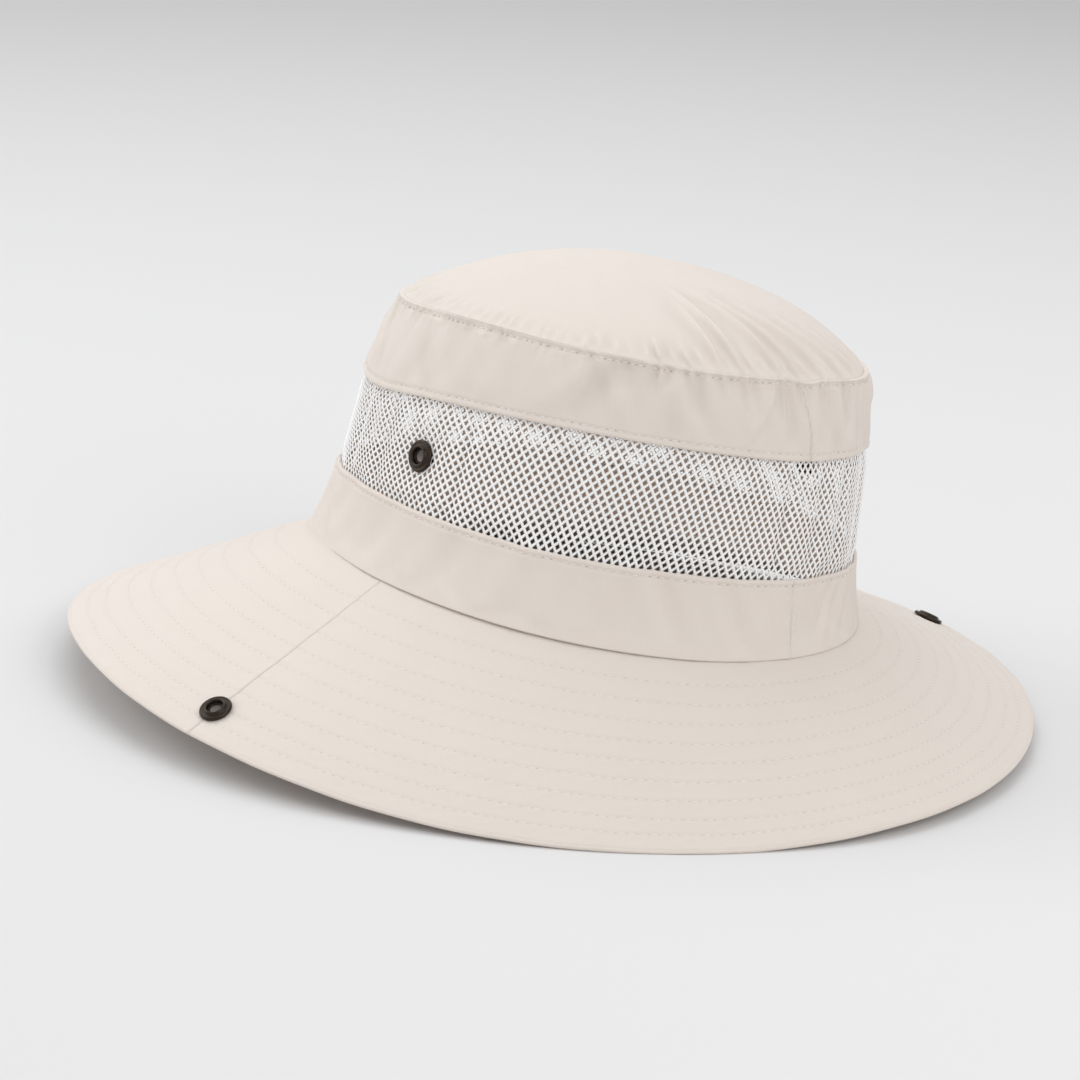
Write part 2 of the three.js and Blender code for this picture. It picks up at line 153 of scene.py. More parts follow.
def tuck(angle, at_level):
    """How far the crown's top is drawn in where the gathers pull most."""
    share = np.clip((at_level - MESH_TOP) / (TIP_SEAM - MESH_TOP), 0, 1)
    return round_hat(TIP_SEAM_TUCK, angle) * share**1.5


def stand(x, y, z):
    """Lean the crown to its right and set it on the brim."""
    at_x, at_y, at_z = CROWN_STANDS_AT
    leaned_x = x * math.cos(LEAN) - z * math.sin(LEAN) + at_x
    leaned_z = x * math.sin(LEAN) + z * math.cos(LEAN) + at_z
    return np.stack((leaned_x, y + at_y, leaned_z), axis=-1)


def crown_point(angle, at_level, inset):
    """Points of the crown, some way in from its outer face."""
    height = at_level + wander(angle, at_level)
    inset = inset + tuck(angle, at_level)
    x = (ring("width", height) - inset) * np.cos(angle) + ring("shift_x", height)
    y = (ring("length", height) - inset) * np.sin(angle) + ring("shift_y", height)
    return stand(x, y, height)


print("Back of the brim joint:", crown_point(np.array([math.pi / 2]), np.array([0.0]), 0)[0].round(1))

# %% [markdown]
# ## A wall of cloth from one flat grid
# Every cloth piece here is a thin wall with a front, a back and rounded folds along its edges. It could
# be a sheet with a Solidify modifier, but then both faces would carry the same pattern and the edges
# would be square. Instead a flat grid is bent: its columns run round the hat, and its rows run once round
# the wall's own cross-section. Where the first and the last column or row meet, they are merged, which
# closes the wall.

# %% A cross-section and the wall round it
# share of the depth where the inner face begins, and how close two points are one, in metres
INNER_FROM = 0.85
SAME_POINT = 1e-6


def cloth_section(front_rows, thick, low_bulge, high_bulge, back_step=3):
    """Rows of a closed cross-section as (across, depth): up the front, over the fold and down the back."""
    fold = [(math.sin(a), (1 - math.cos(a)) * thick / 2) for a in np.linspace(0, math.pi, 6)[1:-1]]
    back_rows = [front_rows[-1], *front_rows[-2:0:-back_step], front_rows[0]]
    return (
        [(across, 0) for across in front_rows]
        + [(front_rows[-1] + high_bulge * out, depth) for out, depth in fold]
        + [(across, thick) for across in back_rows]
        + [(front_rows[0] - low_bulge * out, thick - depth) for out, depth in fold]
        + [(front_rows[0], 0)]
    )


def bent_wall(columns, section, place, cut, hollow=1):
    """A flat grid, bent by place() and closed. cut() gives where each point lies on the flat cloth."""
    rows = len(section) - 1
    bm = bmesh.new()
    bmesh.ops.create_grid(bm, x_segments=columns, y_segments=rows, size=0.5)
    flat = np.array([vert.co[:] for vert in bm.verts]) + 0.5
    turn = flat[:, 0]
    across, depth = np.array(section)[np.rint(flat[:, 1] * rows).astype(int)].T
    # place() also gives each point's painted shade, for its folds, grooves and seams
    points, painted_shade = place(turn, across, depth)
    pattern = cut(turn, across, depth)
    cut_layer = bm.loops.layers.uv.new("cut")
    painted_shade_layer = bm.verts.layers.float.new("painted_shade")
    # the inner faces of hollow pieces are marked for a browner painted shade
    inner_shade_layer = bm.verts.layers.float.new("inner_shade")
    inner_shade = hollow * (depth > INNER_FROM * depth.max())
    for vert, point, depth_of_painted_shade, is_inner_shade in zip(bm.verts, points * MM, painted_shade, inner_shade):
        vert.co = point
        vert[painted_shade_layer] = depth_of_painted_shade
        vert[inner_shade_layer] = float(is_inner_shade)
    bm.verts.index_update()
    for face in bm.faces:
        for loop in face.loops:
            loop[cut_layer].uv = pattern[loop.vert.index]
    bmesh.ops.remove_doubles(bm, verts=bm.verts, dist=SAME_POINT)
    open_edges = [edge for edge in bm.edges if edge.is_boundary]
    if open_edges:
        bmesh.ops.holes_fill(bm, edges=open_edges, sides=0)
    bmesh.ops.recalc_face_normals(bm, faces=bm.faces)
    return bm


def add_piece(name, bm, slot, *nodes):
    """Turn a bmesh into a smooth piece of the hat that rides on its body and stands for CAD nodes.

    Only the caps that close a wall's two ends have more than four corners, and they stay flat.
    """
    mesh = bpy.data.meshes.new(name)
    bm.to_mesh(mesh)
    bm.free()
    mesh.polygons.foreach_set("use_smooth", [len(polygon.vertices) <= 4 for polygon in mesh.polygons])
    piece = bpy.data.objects.new(name, mesh)
    scene.collection.objects.link(piece)
    if nodes:
        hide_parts(*nodes)
    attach(piece, "root")
    triangles = sum(len(polygon.vertices) - 2 for polygon in mesh.polygons)
    print(name, "has", triangles, "triangles")
    return piece


# %% [markdown]
# ## Puckers at the tip seam
# The round tip is larger than the band that it is sewn to, so its edge is eased in, and the spare cloth
# stands up in puckers: narrow sharp ridges at the seam that widen and fade within a few centimetres, on
# both sides of it. They could be sculpted, or come from a cloth simulation. Here each one is a small
# curve that is added to the wall, so that the long folds lie where the real ones do, and seeded numbers
# fill in the fine ones.

# %% Ridges that cross the seam
CLOTH = 1.2
# direction in degrees, height, reach over the tip and down the band, in millimetres
LONG_FOLDS = [
    (-124, 0.7, 18, 8), (-114, 0.8, 24, 9), (-103, 0.9, 32, 10), (-92, 0.9, 30, 9), (-83, 0.8, 34, 8),
    (-72, 0.7, 26, 9), (-61, 0.6, 20, 8), (-50, 0.5, 16, 8), (-38, 0.45, 18, 10), (-29, 0.4, 16, 8),
    (-19, 0.35, 13, 7), (-6, 0.3, 12, 8), (9, 0.3, 11, 8), (19, 0.3, 9, 9), (31, 0.3, 8, 12),
    (48.5, 0.5, 15, 11), (55.5, 0.55, 14, 9), (63.5, 0.9, 42, 8), (69, 0.9, 54, 13), (79.5, 1.0, 58, 20),
    (85.5, 1.0, 55, 12), (94, 0.95, 45, 16), (103.5, 0.8, 32, 13), (113, 0.7, 26, 12), (122, 0.6, 24, 10),
    (133, 0.5, 16, 9), (146, 0.45, 14, 8), (160, 0.4, 12, 8), (175, 0.4, 12, 8), (190, 0.4, 13, 8),
    (205, 0.4, 14, 8), (220, 0.5, 16, 8),
]
# how far a ridge leans for each mm from the seam
TIP_SWAY = -0.17
BAND_SWAY = 0.1
# strength of the ridges at the seam and away from it
SEAM_FOLD_GAIN = 1.2
TIP_FOLD_GAIN = 3.0
BAND_FOLD_GAIN = 1.6
# a ridge's half width at the seam, its widening for each mm, and the valleys' share
FOLD_HALF = 0.65
FOLD_WIDENS = 0.035
FOLD_VALLEY = 0.45
# least and most height and reaches of fine ridges, and degrees between them
FINE_LEAST = (0.14, 5, 4)
FINE_MOST = (0.42, 13, 9)
FINE_SPACING = (2.6, 4.6)
# places in a row of RIDGES
TIP_REACH, BAND_REACH = 2, 3
seeded = np.random.default_rng(11)


def fine_puckers():
    """Small ridges every few degrees, each with its own height and reach."""
    ridges = []
    direction = -180.0
    while direction < 177:
        height, tip_reach, band_reach = seeded.uniform(FINE_LEAST, FINE_MOST)
        ridges.append((direction, height, tip_reach, band_reach))
        direction += seeded.uniform(*FINE_SPACING)
    return ridges


RIDGES = np.array(LONG_FOLDS + fine_puckers())
print(len(RIDGES), "puckers cross the tip seam")


def smooth(value):
    """An even rise from 0 to 1."""
    value = np.clip(value, 0, 1)
    return value * value * (3 - 2 * value)


def bump(offset, half_width):
    """A round hump that is 1 in its middle."""
    return np.exp(-((offset / half_width) ** 2))


def turn_from(direction, angle):
    """The short way round from a direction in degrees to an angle in radians."""
    return (angle - math.radians(direction) + math.pi) % (2 * math.pi) - math.pi


def puckers(angle, distance, radius, reach_column):
    """Height of all ridges at a distance from the seam, on the tip or on the band."""
    total = np.zeros(len(angle))
    on_tip = reach_column == TIP_REACH
    sway, full_gain = (TIP_SWAY, TIP_FOLD_GAIN) if on_tip else (BAND_SWAY, BAND_FOLD_GAIN)
    gain = SEAM_FOLD_GAIN + (full_gain - SEAM_FOLD_GAIN) * smooth(distance / 4)
    for ridge in RIDGES:
        height, reach = ridge[1], ridge[reach_column]
        offset = turn_from(ridge[0], angle) * radius - sway * distance
        half = FOLD_HALF + FOLD_WIDENS * distance
        fade = (0.5 + 0.5 * smooth(distance / reach * 4)) * (1 - smooth((distance / reach) ** 1.5))
        valley = FOLD_VALLEY * bump(np.abs(offset) - 3 * half, 2.2 * half)
        total += gain * height * fade * (bump(offset, half) - valley)
    return total


# %% Slight wrinkles everywhere
# waves round the whole hat, lean in radians for each mm up, and phase
WAVES = [(9, 0.05, 0.4), (17, -0.11, 2.1), (23, 0.17, 4.4), (31, 0.2, 1.2), (38, -0.16, 5.3), (47, 0.3, 3.1)]
# height of each wave in mm
WRINKLE = 0.14


def wrinkles(angle, up):
    """The unevenness of soft cloth that was never ironed flat, stronger in some places than in others."""
    patch = 0.6 + 0.4 * np.sin(5 * angle + 0.13 * up) * np.sin(2 * angle - 0.09 * up + 1)
    return WRINKLE * patch * sum(np.sin(waves * angle + lean * up + phase) for waves, lean, phase in WAVES)


# %% [markdown]
# ## The tip
# The tip is one round cut of cloth over the top of the head. It starts as the bent grid, with its rows as
# circles from the middle out: close together near the seam, where it turns down steeply, and wide apart
# in the middle. The real edge turns inside at the seam, so the wall is drawn in a little there and folds
# over just below the band's top edge.

# %% The domed top of the crown
TIP_RISE = 22.2
TIP_RADIUS = 80
DOME_POWER = 2.2
# the tip's rim starts this far below the band's top edge, so that no gap shows
SEAM_LAP = 0.06
# the dome is fuller towards the back right, in mm and radians
FULLER = 2.7
FULLER_TOWARDS = 2
# soft hollows, how near the seam they end, and how far the rim is drawn in
TIP_HOLLOWS = 0.5
CALM_BY_SEAM = 6
RIM_DRAWN_IN = 0.15
# how much painted shade darkens the bottom of a fold
FOLD_SHADE = 0.4
TIP_ROWS = 46
ROW_SPACING = 1.4
NEXT_TO_RIM = 0.9985
RIM = 0.999
CROWN_COLUMNS = 800

fine_radius = np.linspace(0, 1, 2001)
dome = TIP_RISE * (1 - fine_radius**DOME_POWER)
steps = np.hypot(np.diff(fine_radius) * TIP_RADIUS, np.diff(dome))
along_dome = np.concatenate(([0], np.cumsum(steps)))


def from_seam(radius):
    """Distance over the cloth from the seam to a circle of the tip."""
    return along_dome[-1] - np.interp(radius, fine_radius, along_dome)


def place_tip(turn, across, depth):
    """Points of the tip, where across is 0 in the middle and 1 at the rim."""
    angle = 2 * np.pi * turn
    distance = from_seam(across)
    fold = puckers(angle, distance, TIP_RADIUS * across, TIP_REACH) * smooth(across * 4)
    soft = TIP_HOLLOWS * np.sin(3 * angle + 1) * np.cos(5 * across) * across
    soft += wrinkles(angle, distance) * across**2
    soft *= smooth(distance / CALM_BY_SEAM)
    rolled = -RIM_DRAWN_IN * bump(distance, 0.5)
    fuller = FULLER * np.sin(math.pi * across**2.5) * (0.5 + 0.5 * np.cos(angle - FULLER_TOWARDS)) ** 2
    at_seam = np.full(len(angle), TIP_SEAM - SEAM_LAP / 2)
    out = fold + soft + rolled - depth - tuck(angle, at_seam) * across**2
    height = at_seam + wander(angle, at_seam) * across**2
    x = (1 - across) * ring("shift_x", TIP_SEAM)
    y = (1 - across) * ring("shift_y", TIP_SEAM)
    x += across * ((ring("width", TIP_SEAM) + out * across**2) * np.cos(angle) + ring("shift_x", TIP_SEAM))
    y += across * ((ring("length", TIP_SEAM) + out * across**2) * np.sin(angle) + ring("shift_y", TIP_SEAM))
    rise = TIP_RISE * (1 - across**DOME_POWER) + fuller
    # painted shade in the valleys between puckers
    painted_shade = FOLD_SHADE * np.clip(-fold, 0, 1)
    return stand(x, y, height + rise + out * (1 - across**2)), painted_shade


def cut_tip(turn, across, depth):
    """Where a point lies on the flat round of cloth, in metres."""
    length = (along_dome[-1] - from_seam(across)) * MM
    return np.stack((length * np.cos(2 * np.pi * turn), length * np.sin(2 * np.pi * turn)), axis=-1)


tip_circles = np.append(1 - np.linspace(1, 0, TIP_ROWS) ** ROW_SPACING, NEXT_TO_RIM)
tip_circles.sort()
tip_section = [(r, 0) for r in tip_circles] + [(RIM, CLOTH / 2)] + [(r, CLOTH) for r in tip_circles[::-2]]
tip_section[-1] = (0, CLOTH)
tip_wall = bent_wall(CROWN_COLUMNS, tip_section, place_tip, cut_tip)
tip_panel = add_piece("sewn_tip", tip_wall, "cloth", "tip_panel")

# %% [markdown]
# ## The upper band
# Between the tip and the mesh stands a band of the same cloth. Its top edge ends in a thin welt along the
# tip seam, a row of stitches holds the seam flat just below, and its lower edge is folded over the mesh
# and stitched again. Stitching pulls the cloth in, so each row lies in a shallow groove with the cloth
# swelling beside it.

# %% Grooves, seams and dents that both bands share
# direction in degrees, and how far the seam leans for each mm up
UPPER_SEAM = (DIP_AT, 0.17)
LOWER_SEAM = (89, 0.04)
# levels half way up the two seams
UPPER_MIDDLE = 75
LOWER_MIDDLE = 12
# depth and half width of an upright seam's groove, and depth of a hem's
UPRIGHT_GROOVE = (0.4, 0.42)
HEM_GROOVE = 0.18
# swelling beside a groove, as a share of its depth, and along a folded edge
GROOVE_SWELL = 0.35
EDGE_SWELL = 0.15
SWELL_HALF = 0.9
# strength of dents and wrinkles, and how much of the front's detail shows on the back
DENT_GAIN = 1.7
BAND_WRINKLES = 2.1
SEEN_ON_BACK = 0.3
# how much painted shade darkens a stitched groove
STITCH_SHADE = 0.3


def groove(distance, deep, half=0.45):
    """A stitched groove, with the cloth standing a little proud on both sides of it."""
    return -deep * bump(distance, half) + GROOVE_SWELL * deep * bump(np.abs(distance) - 3 * half, 1.6 * half)


def seam_offset(angle, radius, seam, up):
    """Distance round the band from its upright seam, up mm above the middle of the seam."""
    direction, lean = seam
    return turn_from(direction, angle) * radius + lean * up


def on_faces(detail, depth):
    """A detail of the front face, which shows weakly, turned over, on the back."""
    front = 1 - 2 * depth / CLOTH
    return detail * np.where(front > 0, front, SEEN_ON_BACK * front)


def dents(table, angle, at_level, radius):
    """Soft folds: direction, level, half width, half height, depth, and how far they lean for each mm up."""
    total = np.zeros(len(angle))
    for direction, middle, half_width, half_height, deep, lean in table:
        away = turn_from(direction, angle) * radius
        up = at_level - middle
        total -= DENT_GAIN * deep * bump(away - lean * up, half_width) * bump(up, half_height)
    return total


# %% The band under the tip
UPPER_DENTS = [
    (35, 76, 5, 9, 0.9, 0.5), (42, 82, 3.5, 5, 0.5, 0.2), (27, 72, 6, 8, -0.5, 0.5), (50, 84, 3, 4, 0.6, 0),
    (58, 78, 4, 7, 0.4, -0.2), (74, 75, 1.8, 8, -0.9, 0.5), (81, 80, 3, 7, 0.4, 0), (104, 76, 3, 9, 0.5, 0.2),
    (110, 74, 2.4, 9, 0.5, -0.1), (116, 75, 3, 9, 0.6, 0.1), (-12, 74, 6, 8, 0.4, -0.4),
    (-35, 80, 4, 6, 0.5, 0.3), (10, 68, 7, 5, -0.3, 0), (-60, 75, 6, 8, 0.6, 0.3), (-95, 78, 5, 8, 0.7, 0.2),
    (-130, 74, 6, 9, 0.6, -0.3), (150, 76, 6, 8, 0.5, 0.3), (132, 81, 16, 6, -0.85, 0),
    (178, 78, 5, 7, 0.6, -0.3), (205, 74, 6, 8, 0.5, 0.2),
]
# the band's radius at its top and in its middle
UPPER_TOP_RADIUS = 82
UPPER_RADIUS = 85
UPPER_TOP = TIP_SEAM + SEAM_LAP / 2
UPPER_STITCH = UPPER_TOP - 1.85
UPPER_FOOT_STITCH = MESH_TOP + 2.4
UPPER_GROOVE = 0.16
# the welt's height, distance below the top edge and half width
WELT, WELT_BELOW, WELT_HALF = 0.4, 0.4, 0.45
# how much of the folds the stitched lower edge holds back
HELD_BY_STITCHES = 0.6
# how much painted shade darkens the upright seam's groove
UPRIGHT_SHADE = 1.3


def upper_fold(angle, at_level):
    """Everything soft on the upper band, calmer along the stitched edge over the mesh."""
    below_seam = UPPER_TOP - at_level
    fold = puckers(angle, np.clip(below_seam, 0, None), UPPER_TOP_RADIUS, BAND_REACH)
    fold += dents(UPPER_DENTS, angle, at_level, UPPER_RADIUS)
    fold += BAND_WRINKLES * wrinkles(angle, at_level) * smooth(below_seam / 4)
    return fold * (1 - HELD_BY_STITCHES * bump(at_level - MESH_TOP, 4))


def place_upper(turn, across, depth):
    angle = 2 * np.pi * turn
    fold = upper_fold(angle, across)
    stitched = groove(across - UPPER_STITCH, UPPER_GROOVE) + groove(across - UPPER_FOOT_STITCH, HEM_GROOVE)
    welt = WELT * bump(UPPER_TOP - across - WELT_BELOW, WELT_HALF)
    upright = seam_offset(angle, UPPER_RADIUS, UPPER_SEAM, across - UPPER_MIDDLE)
    seam = groove(upright, *UPRIGHT_GROOVE)
    swell = EDGE_SWELL * bump(across - MESH_TOP - 1, SWELL_HALF)
    out = fold + on_faces(stitched + welt + seam + swell, depth)
    # painted shade in fold valleys, stitched grooves and the upright seam
    painted_shade = FOLD_SHADE * np.clip(-fold, 0, 1) + STITCH_SHADE * bump(across - UPPER_STITCH, 0.5)
    painted_shade += UPRIGHT_SHADE * bump(upright, 0.35)
    painted_shade += STITCH_SHADE * bump(across - UPPER_FOOT_STITCH, 0.5)
    return crown_point(angle, across, depth - out), painted_shade


# a band's mean length in metres
BAND_LENGTH = 0.55


def cut_band(turn, across, depth):
    """Where a point lies on the flat strip of cloth, in metres."""
    return np.stack((turn * BAND_LENGTH, across * MM), axis=-1)


def spaced(*stops):
    """Row positions from (from, to, step) runs, each run up to but without its end."""
    return np.concatenate([np.arange(low, high - step / 2, step) for low, high, step in stops])


upper_rows = spaced(
    (MESH_TOP + 0.6, MESH_TOP + 4, 0.28), (MESH_TOP + 4, UPPER_TOP - 5, 1.3),
    (UPPER_TOP - 5, UPPER_TOP, 0.22),
)
upper_section = cloth_section(list(upper_rows), CLOTH, low_bulge=0.6, high_bulge=0.1)
upper_wall = bent_wall(CROWN_COLUMNS, upper_section, place_upper, cut_band)
upper_band = add_piece("sewn_upper_band", upper_wall, "cloth", "upper_band")

# %% [markdown]
# ## The lower band
# The lower band is the plainest piece: a straight strip round the head with a folded top edge. It is bent
# from the same kind of grid. Its foot follows the brim's slope, so that both meet in one thin dark line,
# which painted shade at the foot makes a little darker.

# %% The band above the brim
LOWER_DENTS = [
    (101, 14, 2.6, 8, 0.8, 0.6), (106, 12, 2.6, 9, 0.9, 0.5), (112, 10, 3.4, 9, 0.8, 0.4),
    (92, 8, 6, 8, 0.4, 0.2), (60, 14, 12, 10, 0.35, 0.4), (30, 10, 14, 9, -0.4, -0.3),
    (15, 15, 8, 8, 0.3, 0.3), (-10, 12, 8, 10, 0.5, 0.3), (-32, 14, 6, 9, -0.4, -0.3),
    (-60, 12, 9, 10, 0.5, 0.2), (-95, 12, 12, 10, 0.4, -0.3), (-130, 12, 9, 10, 0.5, 0.3),
    (140, 12, 9, 10, 0.5, 0.2), (170, 12, 8, 10, 0.5, -0.3), (205, 12, 10, 10, 0.4, 0.3),
]
LOWER_RADIUS = 90
LOWER_STITCH = MESH_FOOT - 2.2
# the gap above the brim in mm
JOINT_CLEAR = 0.12
# painted shade along the upright seam, and at the foot where the band meets the brim
LOWER_UPRIGHT_SHADE = 0.7
JOINT_SHADE = 0.25


def brim_slope(angle):
    """How steeply the brim slopes down, in radians."""
    return np.radians(round_hat(BRIM_SLOPE, angle))


def lower_fold(angle, at_level):
    """Everything soft on the lower band, which lies flat along the brim."""
    fold = dents(LOWER_DENTS, angle, at_level, LOWER_RADIUS) + BAND_WRINKLES * wrinkles(angle, at_level)
    return fold * smooth((at_level - 1) / 5)


def place_lower(turn, across, depth):
    angle = 2 * np.pi * turn
    fold = lower_fold(angle, across)
    upright = seam_offset(angle, LOWER_RADIUS, LOWER_SEAM, across - LOWER_MIDDLE)
    details = groove(across - LOWER_STITCH, HEM_GROOVE) + groove(upright, *UPRIGHT_GROOVE)
    details += EDGE_SWELL * bump(across - MESH_FOOT + 1, SWELL_HALF)
    out = fold + on_faces(details, depth)
    meeting = brim_slope(angle) + LEAN * np.cos(angle)
    foot = depth * np.tan(meeting) * (1 - smooth(across / 6))
    # painted shade in the stitched groove, along the upright seam and at the foot by the brim
    painted_shade = STITCH_SHADE * bump(across - LOWER_STITCH, 0.5) + LOWER_UPRIGHT_SHADE * bump(upright, 0.3)
    painted_shade += JOINT_SHADE * bump(across - JOINT_CLEAR, 0.8)
    return crown_point(angle, across + foot, depth - out), painted_shade


lower_rows = spaced(
    (JOINT_CLEAR + 0.15, 3, 0.4), (3, MESH_FOOT - 4, 1.2), (MESH_FOOT - 4, MESH_FOOT - 0.6, 0.28)
)
lower_section = cloth_section(list(lower_rows), CLOTH, low_bulge=0.15, high_bulge=0.6)
lower_wall = bent_wall(CROWN_COLUMNS, lower_section, place_lower, cut_band)
lower_band = add_piece("sewn_lower_band", lower_wall, "cloth", "lower_band")

# %% [markdown]
# ## The brim
# The brim is two halves of doubled cloth, joined at the sides and quilted together by nine rows of
# stitches that run parallel to its edge. The rows keep it stiff. The two cloths act as one here, so each
# half is one wall, bent from a grid that is open at its two ends, which are filled after the bending. The
# rows stand at fixed shares of the brim's width, which is 68 to 87 mm.

# %% The two halves of the brim
BRIM_CLOTH = 1.6
# the width for which the rows' places are given, and how far the cloth goes in under the band
BRIM_SCALE = 80
BRIM_TUCK = 2
# mean radius of the brim joint
JOINT_RADIUS = 95
STITCH_SHARES = [0.088, 0.163, 0.257, 0.354, 0.452, 0.552, 0.656, 0.764, 0.873]
STITCH_ROWS = [share * BRIM_SCALE for share in STITCH_SHARES]
EDGE_LINE = 1.15
BRIM_COLUMNS = 440
FLOOR_TOUCH = 0.05
SIDE_SEAMS = [math.radians(-1), math.radians(164.5)]
SIDE_GAP = 0.02
# depth and half width of a quilted groove, heights of the small forms round it, and how much painted shade
# darkens them
QUILT_GROOVE = (0.11, 0.5)
EDGE_GROOVE = 0.12
SIDE_RIDGE = 0.08
SIDE_TICK = 0.1
FINE_RIPPLE = 0.05
LONG_RIPPLE = 0.12
ROW_SHADE = 0.15
SIDE_SHADE = 0.1
EDGE_SHADE = 0.3
# rows of vertices near the edge, round each row of stitches, and near the joint
EDGE_STEPS = {0.8, 1.0, 1.15, 1.3, 1.55, 2.2, 3.2, 4.6}
GROOVE_STEPS = (-2.6, -1.5, -0.8, -0.4, 0, 0.4, 0.8, 1.5, 2.6)
JOINT_STEPS = {74.5, 76.5, 78.5, 80, BRIM_SCALE + BRIM_TUCK}


def brim_frame(angle):
    """Where the brim starts, its way out along the cloth, and its upward normal."""
    height = JOINT_RISE * np.cos(2 * angle)
    x = ring("width", height) * np.cos(angle) + ring("shift_x", height)
    y = ring("length", height) * np.sin(angle) + ring("shift_y", height)
    away = np.stack((JOINT_HALF_LENGTH * np.cos(angle), JOINT_HALF_WIDTH * np.sin(angle)), axis=-1)
    away /= np.linalg.norm(away, axis=-1, keepdims=True)
    slope = brim_slope(angle)[:, None]
    out = np.concatenate((away * np.cos(slope), -np.sin(slope)), axis=-1)
    normal = np.concatenate((away * np.sin(slope), np.cos(slope)), axis=-1)
    return stand(x, y, height), out, normal


def brim_point(angle, from_edge, lift):
    """Points of the brim: from_edge is in mm on a brim BRIM_SCALE wide, lift is along the normal."""
    start, out, normal = brim_frame(angle)
    along = round_hat(BRIM_WIDTH, angle) * (1 - from_edge / BRIM_SCALE)
    points = start + out * along[:, None] + normal * lift[:, None]
    points[:, 2] += round_hat(JOINT_WANDER, angle) * smooth(from_edge / BRIM_SCALE)
    return points


def place_brim(start, end):
    """The half of the brim between two side seams."""
    def place(turn, across, depth):
        radius = JOINT_RADIUS + BRIM_SCALE - across
        end_gap = SIDE_GAP / 2 / radius
        angle = start + end_gap + (end - start - 2 * end_gap) * turn
        front = 1 - 2 * depth / BRIM_CLOTH
        from_seam_line = np.minimum(turn, 1 - turn) * (end - start) * radius
        quilting = sum(groove(across - row, *QUILT_GROOVE) for row in STITCH_ROWS)
        edge_line = -EDGE_GROOVE * bump(across - EDGE_LINE, 0.28)
        side_seam = SIDE_RIDGE * bump(from_seam_line - 1.6, 0.8)
        pulled = sum(bump(across - row, 0.9) for row in STITCH_ROWS)
        ticks = -SIDE_TICK * pulled * bump(from_seam_line - 1.5, 1.2)
        ripple = FINE_RIPPLE * np.sin(angle * 95 + 3 * np.sin(across * 0.8)) * np.sin(across * 0.42)
        ripple += LONG_RIPPLE * np.sin(angle * 31 + across * 0.21) * np.sin(across * 0.11 + 1)
        lift = (quilting + edge_line + side_seam + ticks) * front + ripple - depth
        points = brim_point(angle, across, lift)
        points[:, 2] = np.maximum(points[:, 2], FLOOR_TOUCH)
        # painted shade along the rows, at the side seams, along the edge line and near the joint, where the
        # brim goes in under the band
        painted_shade = ROW_SHADE * np.clip(pulled, 0, 1) + SIDE_SHADE * bump(from_seam_line, 0.4)
        painted_shade += EDGE_SHADE * bump(across - EDGE_LINE, 0.3)
        painted_shade += EDGE_SHADE * smooth((across - 78.5) / 2)
        return points, painted_shade

    return place


def cut_brim(start, end):
    """Where the points of that half lie on the flat cloth, in metres."""
    def cut(turn, across, depth):
        angle = start + (end - start) * turn
        radius = (JOINT_RADIUS + BRIM_SCALE - across) * MM
        return np.stack((radius * np.cos(angle), radius * np.sin(angle)), axis=-1)

    return cut


brim_rows = EDGE_STEPS | JOINT_STEPS
for row in STITCH_ROWS:
    brim_rows |= {row + step for step in GROOVE_STEPS}
brim_section = cloth_section(sorted(brim_rows), BRIM_CLOTH, low_bulge=0.8, high_bulge=0.8, back_step=2)
HALVES = {"back_brim": SIDE_SEAMS, "front_brim": [SIDE_SEAMS[1], SIDE_SEAMS[0] + 2 * math.pi]}
brim_halves = []
for node, ends in HALVES.items():
    bm = bent_wall(BRIM_COLUMNS, brim_section, place_brim(*ends), cut_brim(*ends), hollow=0)
    brim_halves.append(add_piece("quilted_" + node, bm, "cloth", node))

# %% [markdown]
# ## The mesh band
# The see-through band is a coarse knitted net of white yarn with diamond holes about 3 mm wide. An image
# with holes would look flat from close by, so the net is real geometry: a ring of cells is poked, which
# puts an X in each, the cells' own edges are dissolved, which leaves diamonds, and the wireframe operator
# turns every edge that is left into a strand. The flat ring is then laid on the crown, with soft upright
# folds. Its two edges lie behind the cloth bands and follow their folds, as they would when sewn on.

# %% The net as a ring of diamonds
NET_COLUMNS = 194
NET_ROWS = 13
NET_BEHIND = 3.5
NET_LOW = MESH_FOOT - NET_BEHIND
NET_HIGH = MESH_TOP + NET_BEHIND
NET_INSET = 1.5
STRAND = 1.0
# share of the strands' depth that is left, and the bulge between the sewn edges
FLATTENED = 0.45
NET_BULGE = 0.9
NET_RADIUS = 90

bm = bmesh.new()
bmesh.ops.create_grid(bm, x_segments=NET_COLUMNS, y_segments=NET_ROWS, size=0.5)
for vert in bm.verts:
    angle = 2 * math.pi * (vert.co.x + 0.5)
    vert.co = (NET_RADIUS * math.cos(angle), NET_RADIUS * math.sin(angle), vert.co.y * (NET_HIGH - NET_LOW))
bmesh.ops.remove_doubles(bm, verts=bm.verts, dist=1e-3)
square_edges = [edge for edge in bm.edges if not edge.is_boundary]
bmesh.ops.poke(bm, faces=bm.faces)
bmesh.ops.dissolve_edges(bm, edges=square_edges, use_verts=False)
bmesh.ops.recalc_face_normals(bm, faces=bm.faces)
bmesh.ops.wireframe(
    bm, faces=bm.faces, thickness=STRAND, offset=0, use_replace=True, use_boundary=True, use_even_offset=True
)
print("The flat net has", len(bm.faces), "faces")

